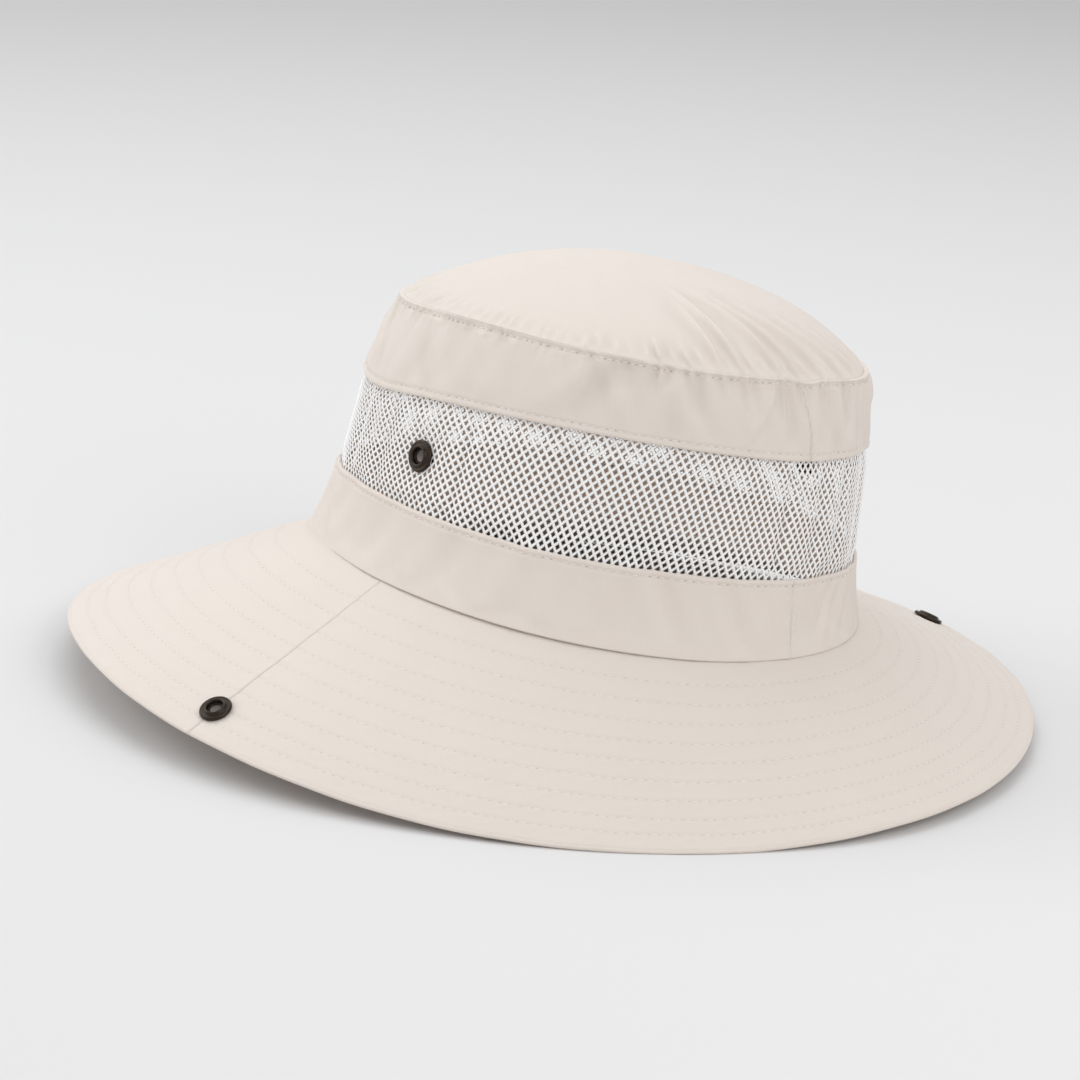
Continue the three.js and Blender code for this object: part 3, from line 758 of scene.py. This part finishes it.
# %% The net laid on the crown
# direction, half width and depth in mm of soft upright folds, which show as paler stripes
NET_FOLDS = [
    (-30, 3, 1.0), (-16, 3.5, 1.1), (9, 2.2, 0.8), (32, 4, 1.0), (52, 5, 0.5), (69, 5, -0.5), (84, 2.6, 1.2),
    (95, 3.5, 1.0), (105, 3, 1.1), (118, 4, 0.8), (140, 5, 0.7), (165, 4, 0.8), (192, 5, 0.7), (-150, 4, 0.9),
    (-125, 4, 0.8), (-100, 5, 0.9), (-78, 4, 0.8), (-55, 4, 0.9),
]
# how far the net's upright lines lean, in mm for each mm up, every 30 degrees from the front
NET_SHEAR = [0.1, 0, -0.04, 0.02, 0.09, 0.27, 0.2, 0.1, 0, -0.1, -0.1, 0]
MESH_MIDDLE = (MESH_FOOT + MESH_TOP) / 2
CROWN_STUD_DIRECTIONS = (-2.5, 165.5)
# lean of the folds, size and depth of a stud's seat, and how far the sewn edges hold
NET_FOLD_LEAN = 0.06
STUD_SEAT = 8
STUD_SEAT_DEPTH = 0.6
HELD_WITHIN = 6
SEWN_WITHIN = 5


def net_away(direction):
    """Distance round the net from a direction."""
    return turn_from(direction, net_angle) * NET_RADIUS


bm.verts.ensure_lookup_table()
flat = np.array([vert.co[:] for vert in bm.verts])
net_angle = np.arctan2(flat[:, 1], flat[:, 0])
net_level = flat[:, 2] + MESH_MIDDLE
net_out = np.hypot(flat[:, 0], flat[:, 1]) - NET_RADIUS
net_angle += round_hat(NET_SHEAR, net_angle) * flat[:, 2] / NET_RADIUS
above_foot = net_level - MESH_FOOT
below_top = MESH_TOP - net_level
held = smooth(above_foot / HELD_WITHIN) * smooth(below_top / HELD_WITHIN)
slack = np.zeros(len(flat))
for direction, half_width, deep in NET_FOLDS:
    slack += deep * bump(net_away(direction) - NET_FOLD_LEAN * flat[:, 2], half_width)
for direction in CROWN_STUD_DIRECTIONS:
    under_stud = bump(np.hypot(net_away(direction), flat[:, 2]), STUD_SEAT)
    slack += under_stud * (STUD_SEAT_DEPTH + NET_BULGE - slack)
sewn_on = (1 - smooth(above_foot / SEWN_WITHIN)) * lower_fold(net_angle, net_level)
sewn_on += (1 - smooth(below_top / SEWN_WITHIN)) * upper_fold(net_angle, net_level)
# a mask for the painted shade on the inner side of each strand
inner_shade_layer = bm.verts.layers.float.new("inner_shade")
net_inset = NET_INSET - net_out * FLATTENED + (slack - NET_BULGE) * held - sewn_on
for vert, point, out in zip(bm.verts, crown_point(net_angle, net_level, net_inset) * MM, net_out):
    vert.co = point
    vert[inner_shade_layer] = min(max(-2 * out / STRAND, 0), 1)
bmesh.ops.recalc_face_normals(bm, faces=bm.faces)
net_band = add_piece("knitted_net", bm, "net", "mesh_band")

# %% [markdown]
# ## Press studs
# Each stud is turned metal: a recessed disc, a raised lip round it, a step and a rolled rim, with a shank
# through the cloth and a flat disc behind. Turned parts are one profile, spun round an axis. The profile
# is a chain of vertices joined by edges, and spin sweeps it in 56 steps and merges the ends.

# %% Spin a stud
# radius and height in mm, from the middle of the front to the shank behind the rim
STUD_PROFILE = [
    (0, 0.4), (1.8, 0.4), (2.0, 0.45), (2.15, 0.3), (2.5, 0.3), (2.65, 0.45), (2.72, 1.4), (2.85, 1.85),
    (3.05, 2.05), (3.3, 2.12), (3.55, 2.08), (3.75, 1.9), (3.9, 1.5), (4.1, 1.22), (4.45, 1.16), (4.75, 1.28),
    (5.1, 1.28), (5.4, 1.05), (5.58, 0.7), (5.6, 0.4), (5.5, 0.12), (5.3, 0), (2.2, -0.05), (2, -0.2),
]
# the disc behind the cloth, from the shank round to its middle
BACK_PROFILE = [(2, 0), (4.4, 0), (4.6, -0.2), (4.6, -0.6), (4.4, -0.8), (0, -0.8)]
STUD_DISC = 1.9
STUD_STEPS = 56
# the mount's point and facing, as in the frame, and the cloth under the stud
STUDS = {
    "crown_stud_left": ((71.919, 6.471, 90.718), (0.973179, -0.0381, 0.226873), 1.0),
    "crown_stud_right": ((-87.884, 33.677, 73.852), (-0.974278, 0.221515, -0.041402), 1.0),
    "brim_stud_left": ((151.351, 6.124, 19.152), (0.456096, 0.091765, 0.885187), BRIM_CLOTH),
    "brim_stud_right": ((-143.839, 48.959, 11.264), (-0.365676, 0.091909, 0.926193), BRIM_CLOTH),
}
STUD_GAP = 0.3
# the mount's height over the stud's foot, and the profile's scale across and up
MOUNT_HEIGHT = 0.8
STUD_SLIMMER = 0.96
STUD_FLATTER = 0.88


def spun_stud(under, centre, facing):
    """A stud with its shank and back disc, turned to face away from the cloth that is under it."""
    behind = -under - 2 * STUD_GAP
    profile = STUD_PROFILE + [(radius, behind + height) for radius, height in BACK_PROFILE]
    bm = bmesh.new()
    chain = [bm.verts.new((radius * STUD_SLIMMER, 0, height * STUD_FLATTER)) for radius, height in profile]
    edges = [bm.edges.new(pair) for pair in zip(chain, chain[1:])]
    bmesh.ops.spin(
        bm, geom=chain + edges, cent=(0, 0, 0), axis=(0, 0, 1), angle=2 * math.pi, steps=STUD_STEPS,
        use_merge=True, use_duplicate=False,
    )
    bmesh.ops.remove_doubles(bm, verts=bm.verts, dist=1e-4)
    bmesh.ops.recalc_face_normals(bm, faces=bm.faces)
    disc_layer = bm.verts.layers.float.new("disc")
    for vert in bm.verts:
        vert[disc_layer] = float(vert.co.z > 0 and vert.co.xy.length < STUD_DISC)
    base = Vector(centre) - MOUNT_HEIGHT * Vector(facing)
    turned = Vector((0, 0, 1)).rotation_difference(Vector(facing)).to_matrix().to_4x4()
    bmesh.ops.transform(bm, matrix=Matrix.Scale(MM, 4) @ Matrix.Translation(base) @ turned, verts=bm.verts)
    return bm


studs = [
    add_piece("turned_" + node, spun_stud(under, centre, facing), "bronze", node)
    for node, (centre, facing, under) in STUDS.items()
]

# %% [markdown]
# ## Rows of stitches
# A sewing machine leaves a row of short raised dashes with a small dark needle hole between each two.
# There are thousands, so each is only a small ball of 20 faces, stretched and half sunk in its groove,
# and each hole is a shallow cone coloured with painted shade. Holes are made only where they are seen, on
# the brim's upper face and along the three rows round the crown. All of one kind are copies of one small
# shape, joined into a single mesh.

# %% One stitch, one needle hole, and rows of them
# points that measure a row's length, and how uneven its pitch is, as a share
ROW_SAMPLES = 3000
UNEVEN = 0.1
# steps along and across a row that show how the cloth faces
STEP_ALONG = 1e-4
STEP_BESIDE = 0.2


def small_shape(make):
    """Points and triangles of one small shape."""
    bm = bmesh.new()
    make(bm)
    bmesh.ops.triangulate(bm, faces=bm.faces)
    bm.verts.index_update()
    points = np.array([vert.co[:] for vert in bm.verts])
    faces = np.array([[vert.index for vert in face.verts] for face in bm.faces])
    bm.free()
    return points, faces


STITCH = small_shape(lambda bm: bmesh.ops.create_icosphere(bm, subdivisions=1, radius=1))
HOLE = small_shape(lambda bm: bmesh.ops.create_cone(
    bm, cap_ends=True, segments=6, radius1=0, radius2=1, depth=1
))


def along_row(surface, low, high, pitch):
    """Evenly spaced places on surface(t): points, the way along, and the way out."""
    t = np.linspace(low, high, ROW_SAMPLES)
    lengths = np.linalg.norm(np.diff(surface(t, 0), axis=0), axis=1)
    travelled = np.concatenate(([0], np.cumsum(lengths)))
    count = int(travelled[-1] // pitch)
    marks = (np.arange(count) + 0.5) / count * travelled[-1]
    marks += seeded.uniform(-UNEVEN, UNEVEN, count) * pitch
    at = np.interp(marks, travelled, t)
    tiny = (high - low) * STEP_ALONG
    points = surface(at, 0)
    ahead = surface(at + tiny, 0) - surface(at - tiny, 0)
    beside = surface(at, STEP_BESIDE) - surface(at, -STEP_BESIDE)
    ahead /= np.linalg.norm(ahead, axis=1, keepdims=True)
    out = np.cross(ahead, beside)
    out /= np.linalg.norm(out, axis=1, keepdims=True)
    return points, ahead, out


def copies(shape, points, ahead, out, size, sink):
    """Copies of a small shape, each turned to its place on the row."""
    corners, faces = shape
    side = np.cross(out, ahead)
    scaled = corners * np.array(size)
    placed = (
        points[:, None] - sink * out[:, None]
        + scaled[None, :, :1] * ahead[:, None]
        + scaled[None, :, 1:2] * side[:, None]
        + scaled[None, :, 2:] * out[:, None]
    )
    joined = faces[None] + (np.arange(len(points)) * len(corners))[:, None, None]
    return placed.reshape(-1, 3) * MM, joined.reshape(-1, 3)


def join_rows(name, shape, rows, size, sink):
    """One piece from all rows of one small shape."""
    parts = [copies(shape, *row, size, sink) for row in rows]
    starts = np.cumsum([0] + [len(points) for points, _ in parts[:-1]])
    mesh = bpy.data.meshes.new(name)
    points = np.concatenate([points for points, _ in parts])
    faces = np.concatenate([faces + start for (_, faces), start in zip(parts, starts)])
    mesh.from_pydata(points.tolist(), [], faces.tolist())
    bm = bmesh.new()
    bm.from_mesh(mesh)
    bpy.data.meshes.remove(mesh)
    bmesh.ops.recalc_face_normals(bm, faces=bm.faces)
    return add_piece(name, bm, "cloth")


# %% Where the rows run
FULL_TURN = 2 * math.pi
BRIM_PITCH = 3.3
# the rows on a half of the brim stop just short of the side seams, as shares of its length
BRIM_ROW_ENDS = (0.003, 0.997)
# mean radius of the two bands, and where the rows beside the upright seams start
BANDS_RADIUS = 88
LOWER_ROW_FOOT = 2
UPPER_ROW_FOOT = UPPER_TOP - 9
# half length, half width and half height, and how deep it is sunk (less than 0 lifts it)
CROWN_STITCH = ((1.02, 0.24, 0.17), -0.02)
BRIM_STITCH = ((1.25, 0.17, 0.1), -0.01)
NEEDLE_HOLE = ((0.19, 0.19, 0.14), 0.05)


def row_on(place, spot):
    """A row on a wall. spot() gives the turn, across and depth that place() takes."""
    def surface(t, beside):
        points, _ = place(*(np.full(len(t), value) for value in spot(t, beside)))
        return points

    return surface


def level_row(place, at_level):
    return row_on(place, lambda t, beside: (t / (2 * np.pi), at_level + beside, 0.0))


def upright_row(place, seam, around, middle):
    """A row beside the upright seam, some way round from it."""
    direction, lean = seam

    def spot(t, beside):
        angle = math.radians(direction) + (around - beside - lean * (t - middle)) / BANDS_RADIUS
        return angle / (2 * np.pi), t, 0.0

    return row_on(place, spot)


def brim_stitch_rows(depth):
    """All rows of both halves, on the upper face or, a whole wall deep, on the lower one."""
    rows = []
    for ends in HALVES.values():
        for from_edge in STITCH_ROWS:
            row = row_on(place_brim(*ends), lambda t, beside: (t, from_edge - beside, depth))
            rows.append(along_row(row, *BRIM_ROW_ENDS, BRIM_PITCH))
    return rows


# each band's placing, the row's level and the pitch
level_rows = [
    along_row(level_row(place, at_level), 0, FULL_TURN, pitch)
    for place, at_level, pitch in (
        (place_upper, UPPER_STITCH, 2.6),
        (place_upper, UPPER_FOOT_STITCH, 2.9),
        (place_lower, LOWER_STITCH, 2.9),
    )
]
# the same with the seam, the distance round from it, its middle, both ends of the row and the pitch
upright_rows = [
    along_row(upright_row(place, seam, around, middle), low, high, pitch)
    for place, seam, around, middle, low, high, pitch in (
        (place_lower, LOWER_SEAM, 1.6, LOWER_MIDDLE, LOWER_ROW_FOOT, LOWER_STITCH, 2.8),
        (place_lower, LOWER_SEAM, -1.6, LOWER_MIDDLE, LOWER_ROW_FOOT, LOWER_STITCH, 2.8),
        (place_upper, UPPER_SEAM, -1.4, UPPER_MIDDLE, UPPER_ROW_FOOT, UPPER_STITCH, 2.6),
    )
]
brim_top_rows = brim_stitch_rows(0.0)
brim_under_rows = [(points, ahead, -out) for points, ahead, out in brim_stitch_rows(BRIM_CLOTH)]


def between(rows):
    """The places half way between neighbours of each row, for the needle holes."""
    return [tuple((part[1:] + part[:-1]) / 2 for part in row) for row in rows]


crown_stitches = join_rows("crown_stitches", STITCH, level_rows + upright_rows, *CROWN_STITCH)
brim_stitches = join_rows("brim_stitches", STITCH, brim_top_rows, *BRIM_STITCH)
under_stitches = join_rows("brim_under_stitches", STITCH, brim_under_rows, *BRIM_STITCH)
painted_needle_hole_shade = join_rows("painted_needle_hole_shade", HOLE, between(level_rows + brim_top_rows), *NEEDLE_HOLE)

# %% [markdown]
# ## Finishes
# Two effects stand on their own, so each is a node group with named sockets, built once. The plain weave
# reads the flat cut of the cloth, kept as the UV map "cut" in metres, so its threads follow each piece as
# they would on the cutting table. The mottle gives every finish its own slight unevenness. The groups put
# out only colours, heights and a mask, and the Principled shader with its plain numbers stays in each
# material.

# %% Small helpers for node trees
def new_group(name, inputs, outputs):
    """An empty node group with named sockets, and its two end nodes."""
    group = bpy.data.node_groups.new(name, "ShaderNodeTree")
    for socket, kind, default in inputs:
        made = group.interface.new_socket(name=socket, in_out="INPUT", socket_type=kind)
        if default is not None:
            made.default_value = default
    for socket, kind in outputs:
        group.interface.new_socket(name=socket, in_out="OUTPUT", socket_type=kind)
    return group, group.nodes.new("NodeGroupInput"), group.nodes.new("NodeGroupOutput")


def add_node(tree, kind, feeds, **settings):
    """A node with its settings, and with plain values or other nodes' results on its sockets."""
    node = tree.nodes.new("ShaderNode" + kind)
    for setting, value in settings.items():
        setattr(node, setting, value)
    for socket, value in feeds.items():
        if isinstance(value, bpy.types.NodeSocket):
            tree.links.new(value, node.inputs[socket])
        else:
            node.inputs[socket].default_value = value
    return node


def math_node(tree, operation, *values):
    """The result of one Math node."""
    return add_node(tree, "Math", dict(enumerate(values)), operation=operation).outputs[0]


def mix_colour(tree, share, first, second):
    """The first colour with a share of the second in it."""
    return add_node(tree, "Mix", {0: share, 6: first, 7: second}, data_type="RGBA").outputs[2]


# %% The plain weave
THREADS_PER_METRE = 3000.0
weave, given, gives = new_group(
    "plain weave",
    [("Cut", "NodeSocketVector", None), ("Threads per metre", "NodeSocketFloat", THREADS_PER_METRE)],
    [("Height", "NodeSocketFloat"), ("Gap", "NodeSocketFloat")],
)
to_scale = {0: given.outputs["Cut"], "Scale": given.outputs["Threads per metre"]}
scaled = add_node(weave, "VectorMath", to_scale, operation="SCALE")
split = add_node(weave, "SeparateXYZ", {0: scaled.outputs[0]})
crests = []
for axis in (0, 1):
    turned = math_node(weave, "MULTIPLY", split.outputs[axis], math.pi)
    crests.append(math_node(weave, "ABSOLUTE", math_node(weave, "SINE", turned)))
# which of the two sets of threads lies on top changes from square to square
whole = [math_node(weave, "FLOOR", split.outputs[axis]) for axis in (0, 1)]
over = math_node(weave, "MODULO", math_node(weave, "ADD", *whole), 2)
over = math_node(weave, "ABSOLUTE", over)
chosen = add_node(weave, "Mix", {0: over, 2: crests[0], 3: crests[1]}).outputs[0]
weave.links.new(chosen, gives.inputs["Height"])
weave.links.new(math_node(weave, "SUBTRACT", 1.0, chosen), gives.inputs["Gap"])

# %% The mottle
mottle, given, gives = new_group(
    "mottle",
    [("Colour", "NodeSocketColor", None), ("Second colour", "NodeSocketColor", None),
     ("Patches per metre", "NodeSocketFloat", 60.0), ("Specks per metre", "NodeSocketFloat", 1500.0)],
    [("Colour", "NodeSocketColor"), ("Height", "NodeSocketFloat")],
)
spot = add_node(mottle, "TexCoord", {}).outputs["Object"]
noises = []
for socket, detail in (("Patches per metre", 3), ("Specks per metre", 2)):
    noise = add_node(mottle, "TexNoise", {"Vector": spot, "Scale": given.outputs[socket], "Detail": detail})
    noises.append(noise.outputs["Fac"])
both = math_node(mottle, "MULTIPLY", math_node(mottle, "ADD", *noises), 0.5)
patchy = mix_colour(mottle, both, given.outputs["Colour"], given.outputs["Second colour"])
mottle.links.new(patchy, gives.inputs["Colour"])
mottle.links.new(noises[1], gives.inputs["Height"])
print("Groups:", [group.name for group in bpy.data.node_groups])

# %% [markdown]
# ## Cloth, thread and needle holes
# The hat's nylon is matt, off-white and a little warm, with a fine plain weave of about three threads to
# the millimetre, with a little painted shade in the gaps between its threads. Seams, stitched grooves and
# the bottoms of folds carry painted shade where light is lost, so each wall carries a value of painted
# shade for the shader to read. A second value gives the crown's inner faces a browner painted shade, as
# cloth looks where light reaches it only through other cloth. The thread is the same yarn, a shade lighter.

# %% Materials that start from the mottle
# shares and colours of painted shade in creases, between threads and on inner faces
PAINTED_SHADE_SHARE, PAINTED_SHADE_COLOUR = 0.3, (0.42, 0.36, 0.3, 1)
THREAD_GAP_SHADE_SHARE, THREAD_GAP_SHADE_COLOUR = 0.1, (0.5, 0.45, 0.4, 1)
PAINTED_INNER_SHADE_SHARE, PAINTED_INNER_SHADE = 0.9, (0.68, 0.56, 0.47, 1)
# heights in metres
CLOTH_GRAIN = 0.00006
WEAVE_HEIGHT = 0.00004
THREAD_GRAIN = 0.0001


def mottled(name, colour, second, patches, specks, **plain):
    """A material whose colour comes from the mottle, with plain numbers on the shader."""
    material = bpy.data.materials.new(name)
    material.use_nodes = True
    tree = material.node_tree
    shader = tree.nodes["Principled BSDF"]
    for socket, value in plain.items():
        shader.inputs[socket.replace("_", " ")].default_value = value
    feeds = dict(enumerate(((*colour, 1), (*second, 1), patches, specks)))
    grain = add_node(tree, "Group", feeds, node_tree=mottle)
    tree.links.new(grain.outputs["Colour"], shader.inputs["Base Color"])
    return material, tree, shader, grain


def attribute(tree, name):
    """A value that the piece's own vertices carry."""
    return add_node(tree, "Attribute", {}, attribute_name=name).outputs["Fac"]


def raised(tree, shader, height, distance, under=None):
    """A Bump node that feeds the shader's normal."""
    node = add_node(tree, "Bump", {"Distance": distance, "Strength": 1, "Height": height})
    if under is not None:
        tree.links.new(under, node.inputs["Normal"])
    tree.links.new(node.outputs[0], shader.inputs["Normal"])
    return node.outputs[0]


cloth, tree, shader, grain = mottled(
    "woven nylon", (0.757, 0.678, 0.608), (0.79, 0.714, 0.648), 35, 900, Roughness=0.82, Sheen_Weight=0.15
)
cut_map = add_node(tree, "UVMap", {}, uv_map="cut")
to_weave = {"Cut": cut_map.outputs[0], "Threads per metre": THREADS_PER_METRE}
threads = add_node(tree, "Group", to_weave, node_tree=weave)
# painted shade between threads, in creases, grooves and seams, and on the crown's inner faces
painted_crease_shade = math_node(tree, "MULTIPLY", attribute(tree, "painted_shade"), PAINTED_SHADE_SHARE)
thread_gap_shade = math_node(tree, "MULTIPLY", threads.outputs["Gap"], THREAD_GAP_SHADE_SHARE)
within = math_node(tree, "MULTIPLY", attribute(tree, "inner_shade"), PAINTED_INNER_SHADE_SHARE)
shaded = mix_colour(tree, thread_gap_shade, grain.outputs["Colour"], THREAD_GAP_SHADE_COLOUR)
shaded = mix_colour(tree, painted_crease_shade, shaded, PAINTED_SHADE_COLOUR)
shaded = mix_colour(tree, within, shaded, PAINTED_INNER_SHADE)
tree.links.new(shaded, shader.inputs["Base Color"])
grainy = raised(tree, shader, grain.outputs["Height"], CLOTH_GRAIN)
raised(tree, shader, threads.outputs["Height"], WEAVE_HEIGHT, under=grainy)

thread, tree, shader, grain = mottled(
    "sewing thread", (0.80, 0.755, 0.705), (0.86, 0.82, 0.77), 300, 4000, Roughness=0.6, Sheen_Weight=0.2
)
raised(tree, shader, grain.outputs["Height"], THREAD_GRAIN)

# the needle holes' dark colour is painted shade
hole_shade = mottled("needle hole", (0.40, 0.34, 0.29), (0.48, 0.42, 0.36), 200, 3000, Roughness=0.95)[0]
print("Cloth, thread and hole:", cloth.name, thread.name, hole_shade.name)

# %% [markdown]
# ## Net yarn and dark bronze
# The net's yarn is white and a little shiny, with a fine twist, and a browner painted shade lies on the
# side that faces the head. The studs are bronze with a dark brown finish that has rubbed lighter here and
# there. Rubbed places are smoother than the rest, so one noise drives both the colour and the roughness.
# The recessed disc is paler, and an attribute of the stud's own vertices marks it.

# %% The net and the studs
# painted shade on the strands' inner side, and how fast it spreads across them
PAINTED_INNER_YARN_SHADE = (0.72, 0.62, 0.54, 1)
INNER_SPREAD = 6
RUBBED_DISC = (0.1, 0.088, 0.075, 1)
# roughness where the grain is low, and how much smoother the rubbed places are
BRONZE_ROUGH, BRONZE_SMOOTHER = 0.45, -0.25
# heights in metres
YARN_GRAIN = 0.00015
BRONZE_GRAIN = 0.00003
yarn, tree, shader, grain = mottled(
    "net yarn", (0.94, 0.935, 0.925), (0.96, 0.955, 0.945), 150, 2500, Roughness=0.75, Sheen_Weight=0.2
)
# painted shade over nearly the whole inner side of a strand, since the value grows from 0 in its middle
inner_yarn_shade_share = math_node(tree, "MULTIPLY", attribute(tree, "inner_shade"), INNER_SPREAD)
inner_yarn_shade_share = math_node(tree, "MINIMUM", inner_yarn_shade_share, 1)
yarn_with_inner_shade = mix_colour(tree, inner_yarn_shade_share, grain.outputs["Colour"], PAINTED_INNER_YARN_SHADE)
tree.links.new(yarn_with_inner_shade, shader.inputs["Base Color"])
raised(tree, shader, grain.outputs["Height"], YARN_GRAIN)

bronze, tree, shader, grain = mottled(
    "dark bronze", (0.014, 0.0105, 0.008), (0.056, 0.039, 0.026), 400, 3500, Metallic=0.8
)
disc_colour = mix_colour(tree, attribute(tree, "disc"), grain.outputs["Colour"], RUBBED_DISC)
tree.links.new(disc_colour, shader.inputs["Base Color"])
rubbed = math_node(tree, "MULTIPLY_ADD", grain.outputs["Height"], BRONZE_SMOOTHER, BRONZE_ROUGH)
tree.links.new(rubbed, shader.inputs["Roughness"])
raised(tree, shader, grain.outputs["Height"], BRONZE_GRAIN)

for pieces, material in (
    ([tip_panel, upper_band, lower_band, *brim_halves], cloth),
    ([crown_stitches, brim_stitches, under_stitches], thread),
    ([painted_needle_hole_shade], hole_shade),
    ([net_band], yarn),
    (studs, bronze),
):
    for piece in pieces:
        piece.data.materials.append(material)
print("Materials:", [material.name for material in bpy.data.materials])

# %% [markdown]
# ## Floor and light
# The hat lies on a pale sweep of paper in soft light, so its shadow is faint and has no edge. One wide
# lamp stands overhead, a little beyond the hat, a wide lamp on each side fills the shadows, and the world
# gives the rest. Inside the crown a very weak, warm lamp lights the inner faces, so that the net's holes
# look brown and not black. The floor is a disc with painted shade that grows a little darker far from its
# palest place, a painted pool of light.

# %% The pale floor
FLOOR_RADIUS = 6
PAINTED_LIGHT_POOL_AT = (-0.62, 0.57, 0)
# distances from there between which painted shade makes the paper darker
DARKER_FROM, DARKER_TO = 0.3, 2.2
PAINTED_FALLOFF_SHADE = (0.6, 0.593, 0.59, 1)

bm = bmesh.new()
bmesh.ops.create_circle(bm, cap_ends=True, segments=96, radius=FLOOR_RADIUS)
mesh = bpy.data.meshes.new("floor")
bm.to_mesh(mesh)
bm.free()
floor = bpy.data.objects.new("floor", mesh)
scene.collection.objects.link(floor)

paper, tree, shader, grain = mottled(
    "paper", (0.758, 0.751, 0.745), (0.773, 0.766, 0.76), 3, 400, Roughness=0.9
)
on_floor = add_node(tree, "TexCoord", {}).outputs["Object"]
# painted light falloff: the paper is darker away from the painted pool of light
distance = add_node(tree, "VectorMath", {0: on_floor, 1: PAINTED_LIGHT_POOL_AT}, operation="DISTANCE").outputs["Value"]
painted_falloff = add_node(tree, "MapRange", {"Value": distance, "From Min": DARKER_FROM, "From Max": DARKER_TO})
paper_colour = mix_colour(tree, painted_falloff.outputs[0], grain.outputs["Colour"], PAINTED_FALLOFF_SHADE)
tree.links.new(paper_colour, shader.inputs["Base Color"])
floor.data.materials.append(paper)
print("The floor is", 2 * FLOOR_RADIUS, "m across")

# %% Soft studio light
LAMPS_AIM_AT = Vector((0, 0, 0.05))


def soft_lamp(name, place, size, power, colour):
    """A square lamp that faces the hat, with its size in metres and its power in watts."""
    lamp = bpy.data.objects.new(name, bpy.data.lights.new(name, "AREA"))
    lamp.data.size = size
    lamp.data.energy = power
    lamp.data.color = colour
    lamp.location = place
    lamp.rotation_euler = (LAMPS_AIM_AT - Vector(place)).to_track_quat("-Z", "Y").to_euler()
    scene.collection.objects.link(lamp)


soft_lamp("overhead", (-0.35, -0.65, 1.75), size=1.5, power=10.5, colour=(0.93, 0.965, 1.0))
soft_lamp("left fill", (0.9, -1.2, 0.75), size=1.1, power=8.8, colour=(0.96, 0.98, 1.0))
soft_lamp("right fill", (0.2, 1.5, 1.15), size=1.1, power=8.5, colour=(0.98, 0.99, 1.0))

# the weak lamp that lights the inner faces
within_crown = bpy.data.lights.new("within the crown", "POINT")
within_crown.energy = 0.04
within_crown.color = (1.0, 0.93, 0.87)
within_crown.shadow_soft_size = 0.04
inner_lamp = bpy.data.objects.new("within the crown", within_crown)
inner_lamp.location = (-0.006, 0.01, 0.048)
inner_lamp.visible_camera = False
scene.collection.objects.link(inner_lamp)

world = bpy.data.worlds.new("pale studio")
world.use_nodes = True
world.node_tree.nodes["Background"].inputs["Color"].default_value = (0.99, 0.99, 1.0, 1)
world.node_tree.nodes["Background"].inputs["Strength"].default_value = 0.72
scene.world = world
scene.view_settings.view_transform = "Standard"
print("Lamps:", [lamp.name for lamp in bpy.data.lights])
